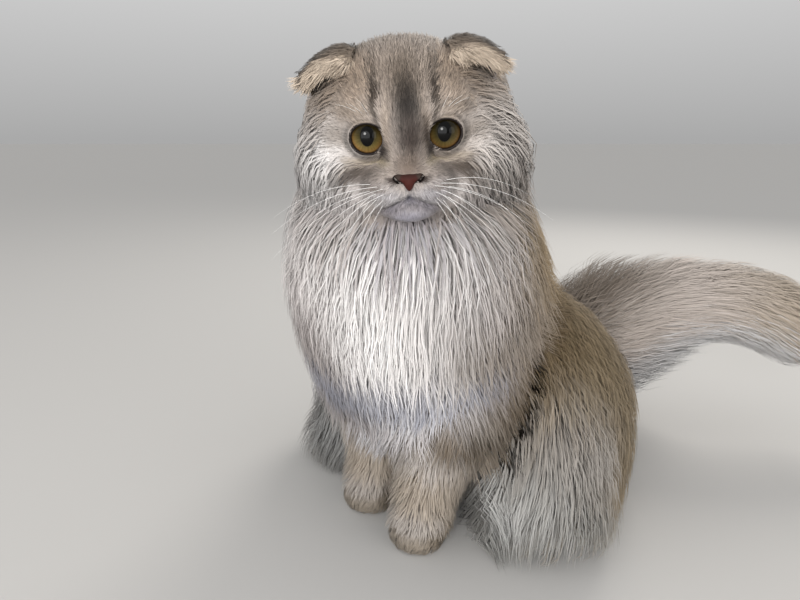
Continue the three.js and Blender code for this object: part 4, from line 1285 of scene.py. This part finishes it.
# The ears' own fur: short and dark over the fold and the back, longer and pale below the margin,
# where it streams out past the tip.
def ear_coat(name, seed, count, weight, length, rise, way, width, steps=3, facing=None):
    chance = np.random.default_rng(seed)
    roots, normals = sow(count, weight, chance)
    side = np.sign(to_head(roots)[:, 0])
    way = np.stack([side * way[0], np.full(count, way[1]), np.full(count, way[2])], axis=1) @ HEAD_TURN.T
    way = way + chance.normal(0, 0.18, (count, 3))
    way = unit(way - normals * np.sum(way * normals, axis=1)[:, None])
    long = length * chance.uniform(0.7, 1.2, count)[:, None]
    lift = rise * chance.uniform(0.4, 1.1, count)[:, None]
    paths = np.stack([
        roots - normals * 0.8 * (step == 0) + way * long * step / steps
        + normals * lift * (1 - (1 - step / steps) ** 1.6)
        for step in range(steps + 1)
    ], axis=1)
    gather(paths, 7, 0.5, chance)
    if facing:
        outward = np.stack([side * facing[0], np.full(count, facing[1]), np.full(count, facing[2])], axis=1)
        normals = unit(unit(outward) @ HEAD_TURN.T + 0.35 * normals)
    ups = np.repeat(normals[:, None], steps + 1, axis=1)
    coat(name, roots, normals, paths, ups, width, chance, slot="face")


outer_ear = on_ear * ((facet_normal @ HEAD_TURN)[:, 2] > -0.25)
ear_coat(
    "coat_ears", 61, 7000, outer_ear * (0.15 + 0.85 * ramp(-np.abs(in_head[:, 0]), -54, -48)),
    4.2, 2.0, (0.7, -0.4, -0.4), 0.55, 2,
)
folded = np.abs(in_head) * [1, 0, 0] + in_head * [0, 1, 1]
beside = on_head * (
    patch(folded, (34, -15, 31), (8, 10, 8)) + patch(folded, (41, -3, 27), (9, 12, 7))
    + 1.5 * patch(folded, (26, -6, 42), (5, 9, 6))
)
hem = on_ear * ramp(ear_places(in_head)[1], 0.66, 0.8) * ramp(-folded[:, 0], -57, -51)
ear_coat(
    "coat_ear_linings", 62, 8000, 2 * hem + beside,
    12, 3.5, (0.7, -0.25, -0.6), 0.65, 2, (0.2, -0.8, 0.6),
)

# The eyes: moist amber balls with an upright dark pupil, darkened to olive above by painted shade where the
# lid shades them, and a clear wet surface. Their pattern reads where a point lies across the eye.
PUPIL = (0.35, 0.51)


def ball_of(name, centre, radius, ahead, rings=48, columns=72):
    """A ball with its poles fore and aft, and where each point lies across it: right, ahead, up."""
    right = unit(np.cross(ahead, -DOWN))
    above = np.cross(right, ahead)
    polar = np.linspace(0, math.pi, rings + 1)[1:-1]
    turn = np.linspace(0, 2 * math.pi, columns, endpoint=False)
    local = np.stack([
        np.outer(np.sin(polar), np.cos(turn)),
        np.repeat(np.cos(polar)[:, None], columns, axis=1),
        np.outer(np.sin(polar), np.sin(turn)),
    ], axis=-1).reshape(-1, 3)
    local = np.vstack([local, [[0, 1, 0], [0, -1, 0]]])
    cornea = 1 + 0.05 * ramp(local[:, 1], 0.62, 0.95)
    points = centre + radius * (local * cornea[:, None]) @ np.stack([right, ahead, above])
    grid = np.arange((rings - 1) * columns).reshape(rings - 1, columns)
    after = np.roll(grid, -1, axis=1)
    sides = np.stack([grid[:-1], after[:-1], after[1:], grid[1:]], axis=-1).reshape(-1, 4)
    triangles = np.concatenate([sides[:, [0, 1, 2]], sides[:, [0, 2, 3]]])
    front = np.stack([np.full(columns, len(local) - 2), after[0], grid[0]], axis=1)
    rear = np.stack([np.full(columns, len(local) - 1), grid[-1], after[-1]], axis=1)
    mesh = mesh_of(name, points, np.concatenate([triangles, front, rear]))
    layer = mesh.attributes.new("across", "FLOAT_VECTOR", "POINT")
    layer.data.foreach_set("vector", local.astype(np.float32).ravel())
    return mesh


def eye_material(name, light):
    """Light says how much of the day reaches the eye under its brow."""
    material, nodes, links, shader = material_of(name, {
        "Roughness": 0.3, "Specular IOR Level": 0.0, "Coat Weight": 0.38, "Coat Roughness": 0.02,
    })
    across = nodes.new("ShaderNodeAttribute")
    across.attribute_name = "across"
    parts = nodes.new("ShaderNodeSeparateXYZ")
    links.new(across.outputs["Vector"], parts.inputs["Vector"])

    def maths(operation, first, second=None):
        node = nodes.new("ShaderNodeMath")
        node.operation = operation
        for socket, value in zip(node.inputs, (first, second)):
            if isinstance(value, (int, float)):
                socket.default_value = value
            elif value is not None:
                links.new(value, socket)
        return node.outputs["Value"]

    def oval(wide, tall):
        x = maths("DIVIDE", parts.outputs["X"], wide)
        z = maths("DIVIDE", parts.outputs["Z"], tall)
        return maths("SQRT", maths("ADD", maths("MULTIPLY", x, x), maths("MULTIPLY", z, z)))

    def ramped(value, stops):
        node = nodes.new("ShaderNodeValToRGB")
        links.new(value, node.inputs["Fac"])
        for i, (place, code) in enumerate(stops):
            stop = node.color_ramp.elements[i] if i < 2 else node.color_ramp.elements.new(place)
            stop.position = place
            stop.color = (*paint(code), 1)
        return node.outputs["Color"]

    out = oval(1, 1)
    iris = ramped(out, [
        (0.3, "35321f"), (1.0, "120c08"), (0.5, "625631"),
        (0.66, "7d6839"), (0.79, "8a6a3c"), (0.87, "38261a"),
    ])
    fibres = set_sockets(nodes.new("ShaderNodeTexNoise"), {"Scale": 7, "Detail": 3})
    turned = nodes.new("ShaderNodeVectorMath")
    turned.operation = "NORMALIZE"
    flat = nodes.new("ShaderNodeCombineXYZ")
    links.new(parts.outputs["X"], flat.inputs["X"])
    links.new(parts.outputs["Z"], flat.inputs["Z"])
    links.new(flat.outputs["Vector"], turned.inputs[0])
    links.new(turned.outputs["Vector"], fibres.inputs["Vector"])
    # Painted shade: the iris darkens towards its top, under the lid, and the whole eye is scaled by its
    # light.
    lit = set_sockets(nodes.new("ShaderNodeMapRange"), {
        "From Min": -0.5, "From Max": 0.35, "To Min": light, "To Max": light * 0.12,
    })
    links.new(parts.outputs["Z"], lit.inputs["Value"])
    pupil = set_sockets(nodes.new("ShaderNodeMapRange"), {"From Min": 0.94, "From Max": 1.04})
    links.new(oval(*PUPIL), pupil.inputs["Value"])
    streaks = maths("ADD", maths("MULTIPLY", fibres.outputs["Fac"], 0.9), 0.55)
    strength = maths("MULTIPLY", lit.outputs["Result"], streaks)
    strength = maths("MULTIPLY", strength, pupil.outputs["Result"])
    shaded = nodes.new("ShaderNodeVectorMath")
    shaded.operation = "SCALE"
    links.new(iris, shaded.inputs[0])
    links.new(strength, shaded.inputs["Scale"])
    links.new(shaded.outputs["Vector"], shader.inputs["Base Color"])
    return material


# The left eye gets less light: painted shade under its brow.
for side, name, light in ((1, "left", 0.55), (-1, "right", 1.0)):
    centre = from_head(EYE_PLACE * [side, 1, 1])
    gaze = unit(CAMERA_PLACE + np.array([side * 12, 0, 0]) - centre)
    eye = object_of("eyeball_" + name, ball_of("eyeball_" + name, centre, EYE_RADIUS, gaze))
    eye.data.materials.append(eye_material("amber eye " + name, light))
    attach(eye, "root")
    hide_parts("eye_" + name)

# The lids' rims: the bare, dark and moist edge of the skin round each eye's opening. Each is one
# closed ring that lies on the ball and is drawn out at the inner corner.
RIM_RADIUS = 0.85
RIM_STEPS = 72


def tube_of(name, path, radius, columns=10):
    """A closed ring of tube along a path."""
    along = unit(np.roll(path, -1, axis=0) - np.roll(path, 1, axis=0))
    one = unit(path - path.mean(axis=0))
    one = unit(one - along * np.sum(one * along, axis=1)[:, None])
    two = np.cross(along, one)
    turn = np.linspace(0, 2 * math.pi, columns, endpoint=False)[None, :, None]
    circle = one[:, None] * np.cos(turn) + two[:, None] * np.sin(turn)
    points = path[:, None] + radius[:, None, None] * circle
    grid = np.arange(points.shape[0] * columns).reshape(-1, columns)
    ahead, next_one = np.roll(grid, -1, axis=0), np.roll(grid, -1, axis=1)
    both = np.roll(ahead, -1, axis=1)
    faces = np.stack([grid, ahead, both, next_one], axis=-1).reshape(-1, 4)
    return mesh_of(name, points.reshape(-1, 3), faces[:, ::-1])


rim_material = material_of("moist dark lid", {
    "Base Color": (*paint("1a1210"), 1), "Roughness": 0.5, "Specular IOR Level": 0.2,
})[0]
for side, name in ((1, "left"), (-1, "right")):
    turn = np.linspace(0, 2 * math.pi, RIM_STEPS, endpoint=False)
    corner = np.exp(-((np.angle(np.exp(1j * (turn - math.radians(205)))) / 0.3) ** 2))
    u = LID_OPENING[0] * np.cos(turn) * (1 + 0.16 * corner)
    v = LID_OPENING[1] * np.sin(turn) * (1 + 0.16 * corner)
    x = u * math.cos(LID_TILT) - v * math.sin(LID_TILT)
    z = v * math.cos(LID_TILT) + u * math.sin(LID_TILT)
    out = EYE_RADIUS + 0.75
    y = -np.sqrt(np.maximum(out**2 - x**2 - z**2, 4))
    rim = from_head(EYE_PLACE * [side, 1, 1] + np.stack([side * x, y, z], axis=1))
    lid = object_of("lid_rim_" + name, tube_of("lid_rim_" + name, rim, RIM_RADIUS * (1 + 0.5 * corner)))
    lid.data.materials.append(rim_material)
    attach(lid, "root")

# The nose leather: a moist brick-red pad with wings on either side and slit nostrils that curl
# outward, over the split of the upper lip.
NOSE_STEP = 0.32
NOSE_BLEND = 0.7
NOSE_SMOOTHING = 0.25
NOSE_MASSES = [
    ([0, -57.6, -14.6], [4.4, 3.2, 2.2]),
    ([0, -58.6, -16.8], [2.7, 3.0, 2.8]),
    ([0, -58.2, -19.2], [1.4, 2.4, 2.0]),
    ([5.4, -56.2, -15.0], [3.3, 3.6, 2.6]),
    ([-5.4, -56.2, -15.0], [3.3, 3.6, 2.6]),
]
NOSTRILS = [
    ([4.9, -60.6, -16.6], [2.4, 3.0, 0.85], 0.65),
    ([7.4, -58.6, -14.4], [2.2, 2.6, 0.7], 0.75),
]


def nostril_gap(local):
    gap = np.full(len(local), 99.0)
    folded = local.copy()
    folded[:, 0] = np.abs(folded[:, 0])
    for centre, radii, tilt in NOSTRILS:
        q = folded - np.array(centre)
        x = q[:, 0] * math.cos(tilt) + q[:, 2] * math.sin(tilt)
        z = q[:, 2] * math.cos(tilt) - q[:, 0] * math.sin(tilt)
        gap = np.minimum(gap, oval_gap(np.stack([x, q[:, 1], z], axis=1), radii))
    return gap


def nose_gap(points):
    local = to_head(points)
    gaps = (oval_gap(local - np.array(centre), np.array(radii)) for centre, radii in NOSE_MASSES)
    return np.maximum(blended(gaps, NOSE_BLEND, 60), -nostril_gap(local))


nose_middle = from_head([0, -57, -17])
nose_low, nose_high = nose_middle - 13, nose_middle + 13
nose_fill = filled(nose_low, nose_high, NOSE_STEP, [(nose_gap, nose_low, nose_high)], NOSE_SMOOTHING)
nose_net = netted(-NOSE_SMOOTHING * np.log(nose_fill), nose_low, NOSE_STEP)
nose = object_of("nose_leather", mesh_of("nose_leather", *nose_net))
nose_points = points_of(nose.data)
local = to_head(nose_points)
red = np.tile(paint("44201b"), (len(local), 1))
for code, share in (
    ("2a1815", ramp(np.abs(local[:, 0]), 3.0, 5.6)),
    ("3a211d", ramp(local[:, 2], -15.2, -12.8)),
    ("3a2f2a", ramp(np.abs(local[:, 0]) + 0.8 * (local[:, 2] + 16), 5.6, 7.4)),
    # Painted shade: near black inside the nostril slits and just round them.
    ("0c0706", np.exp(-(np.clip(nostril_gap(local), 0, 9) / 0.45) ** 2)),
):
    lay([red], share, [code])
set_colours(nose.data, red)
nose_material, nodes, links, shader = material_of("nose leather", {
    "Roughness": 0.6, "Specular IOR Level": 0.12,
})
colour = nodes.new("ShaderNodeAttribute")
colour.attribute_name = "coat"
links.new(colour.outputs["Color"], shader.inputs["Base Color"])
pebbles = set_sockets(nodes.new("ShaderNodeTexVoronoi"), {"Scale": 2200})
place = nodes.new("ShaderNodeTexCoord")
links.new(place.outputs["Object"], pebbles.inputs["Vector"])
relief = set_sockets(nodes.new("ShaderNodeBump"), {"Strength": 0.5, "Distance": 0.0002})
links.new(pebbles.outputs["Distance"], relief.inputs["Height"])
links.new(relief.outputs["Normal"], shader.inputs["Normal"])
nose.data.materials.append(nose_material)
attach(nose, "root")
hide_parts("nose")

# Whiskers: stiff white hairs in rows on the upper lip, and a few over each eye. Each is drawn as a
# bent line, and one tree of nodes gives them all their tapered thickness.
WHISKER_ROOT = 0.115
WHISKER_SIDES = 5
WHISKER_TIP = 0.18
WHISKER_STEPS = 12


def on_face(x, z, y=-62.0):
    """The skin's place straight behind a point of the face."""
    point = from_head([[x, y, z]])
    ahead = unit(HEAD_TURN @ np.array([0.0, 1.0, 0.0]))
    for _ in range(12):
        point = point + ahead * over_face(point)[0][:, None] * 0.8
    return point[0]


chance = np.random.default_rng(71)
whisker_lines = []
for side in (1, -1):
    for row in range(4):
        for column in range(3):
            root = on_face(side * (12 + 3.4 * column + 0.6 * row), -19.5 - 2.9 * row + 0.5 * column)
            fan = -0.02 - 0.3 * row + 0.06 * column + chance.normal(0, 0.08)
            way = np.array([side * (0.95 - 0.08 * row), -0.3 + 0.18 * column, fan])
            length = 62 - 8 * row - 4 * abs(column - 1) + chance.uniform(-10, 8)
            whisker_lines.append((root, way, length, 0.36))
    for number in range(3):
        root = on_face(side * (19 + 2.6 * number), 15.5 + 0.8 * number)
        way = np.array([side * (0.3 + 0.3 * number), -0.25, 0.8])
        whisker_lines.append((root, way, 17 + chance.uniform(-3, 3), 0.25))
points, edges = [], []
for root, way, length, droop in whisker_lines:
    way = unit(HEAD_TURN @ way)
    for step in range(WHISKER_STEPS + 1):
        share = step / WHISKER_STEPS
        points.append(root - way * 1.5 + way * length * share + DOWN * droop * length * share**2.2)
        if step:
            edges.append((len(points) - 2, len(points) - 1))
lines = bpy.data.meshes.new("whisker_lines")
lines.from_pydata([tuple((point + SHIFT) * MM) for point in points], edges, [])
whiskers = object_of("whisker_lines", lines)
whisker_material = material_of("white whisker", {"Base Color": (0.92, 0.91, 0.89, 1), "Roughness": 0.35})[0]

tree = bpy.data.node_groups.new("whiskers", "GeometryNodeTree")
tree.interface.new_socket("Geometry", in_out="INPUT", socket_type="NodeSocketGeometry")
root_socket = tree.interface.new_socket("Root radius", in_out="INPUT", socket_type="NodeSocketFloat")
tip_socket = tree.interface.new_socket("Tip share", in_out="INPUT", socket_type="NodeSocketFloat")
sides_socket = tree.interface.new_socket("Sides", in_out="INPUT", socket_type="NodeSocketInt")
tree.interface.new_socket("Geometry", in_out="OUTPUT", socket_type="NodeSocketGeometry")
make = tree.nodes.new
inputs, outputs = make("NodeGroupInput"), make("NodeGroupOutput")
to_curve, place = make("GeometryNodeMeshToCurve"), make("GeometryNodeSplineParameter")
taper, times = make("ShaderNodeMapRange"), make("ShaderNodeMath")
ring, skinned = make("GeometryNodeCurvePrimitiveCircle"), make("GeometryNodeCurveToMesh")
real, dressed = make("GeometryNodeRealizeInstances"), make("GeometryNodeSetMaterial")
times.operation = "MULTIPLY"
taper.inputs["To Min"].default_value = 1
ring.inputs["Radius"].default_value = 1
skinned.inputs["Fill Caps"].default_value = True
dressed.inputs["Material"].default_value = whisker_material
for start, end in (
    (inputs.outputs["Geometry"], to_curve.inputs["Mesh"]),
    (place.outputs["Factor"], taper.inputs["Value"]),
    (inputs.outputs["Tip share"], taper.inputs["To Max"]),
    (taper.outputs["Result"], times.inputs[0]),
    (inputs.outputs["Root radius"], times.inputs[1]),
    (inputs.outputs["Sides"], ring.inputs["Resolution"]),
    (to_curve.outputs["Curve"], skinned.inputs["Curve"]),
    (times.outputs["Value"], skinned.inputs["Scale"]),
    (ring.outputs["Curve"], skinned.inputs["Profile Curve"]),
    (skinned.outputs["Mesh"], real.inputs["Geometry"]),
    (real.outputs["Geometry"], dressed.inputs["Geometry"]),
    (dressed.outputs["Geometry"], outputs.inputs["Geometry"]),
):
    tree.links.new(start, end)
growth = whiskers.modifiers.new("whiskers", "NODES")
growth.node_group = tree
growth[root_socket.identifier] = WHISKER_ROOT * MM
growth[tip_socket.identifier] = WHISKER_TIP
growth[sides_socket.identifier] = WHISKER_SIDES
grown = bpy.data.meshes.new_from_object(whiskers.evaluated_get(bpy.context.evaluated_depsgraph_get()))
whiskers.modifiers.clear()
bpy.data.objects.remove(whiskers)
whiskers = object_of("whiskers", grown)
grown.shade_smooth()
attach(whiskers, "root")

# The studio: a pale floor and four soft round lamps. A small key and a broad window light stand on
# the left in front, a warm fill on the right and one lamp behind, under an even grey sky.
floor_mesh = bpy.data.meshes.new("floor")
floor_mesh.from_pydata([(-40, -40, 0), (40, -40, 0), (40, 40, 0), (-40, 40, 0)], [], [(0, 1, 2, 3)])
floor = object_of("floor", floor_mesh)
floor_material = material_of("pale floor", {"Base Color": (0.5, 0.49, 0.475, 1), "Roughness": 0.9})[0]
floor_mesh.materials.append(floor_material)


def soft_light(name, place, aim, size, power, colour):
    light = bpy.data.lights.new(name, "AREA")
    light.shape = "DISK"
    light.size = size
    light.energy = power
    light.color = colour
    lamp = bpy.data.objects.new(name, light)
    bpy.context.scene.collection.objects.link(lamp)
    lamp.location = place
    lamp.rotation_euler = (Vector(aim) - Vector(place)).to_track_quat("-Z", "Y").to_euler()


CHEST = tuple((np.array([0, -60, 200]) + SHIFT) * MM)
soft_light("key", (-0.55, -1.5, 0.66), CHEST, 0.36, 8, (1, 0.98, 0.96))
soft_light("window", (-0.5, -1.55, 0.34), CHEST, 1.5, 15, (0.98, 0.99, 1))
soft_light("fill", (1.1, -1.2, 0.35), CHEST, 1.4, 7, (1, 0.98, 0.95))
soft_light("back", (0.6, 1.2, 1.3), CHEST, 0.9, 14, (1, 0.96, 0.9))
world = bpy.data.worlds.new("studio")
bpy.context.scene.world = world
bpy.context.scene.view_settings.view_transform = "Standard"
world.use_nodes = True
nodes, links = world.node_tree.nodes, world.node_tree.links
way = nodes.new("ShaderNodeTexCoord")
height = nodes.new("ShaderNodeSeparateXYZ")
sky = nodes.new("ShaderNodeValToRGB")
links.new(way.outputs["Generated"], height.inputs["Vector"])
links.new(height.outputs["Z"], sky.inputs["Fac"])
links.new(sky.outputs["Color"], nodes["Background"].inputs["Color"])
sky.color_ramp.elements[0].position, sky.color_ramp.elements[1].position = 0.0, 0.35
sky.color_ramp.elements[0].color = (0.5, 0.5, 0.5, 1)
sky.color_ramp.elements[1].color = (0.95, 0.95, 0.95, 1)
nodes["Background"].inputs["Strength"].default_value = 0.8
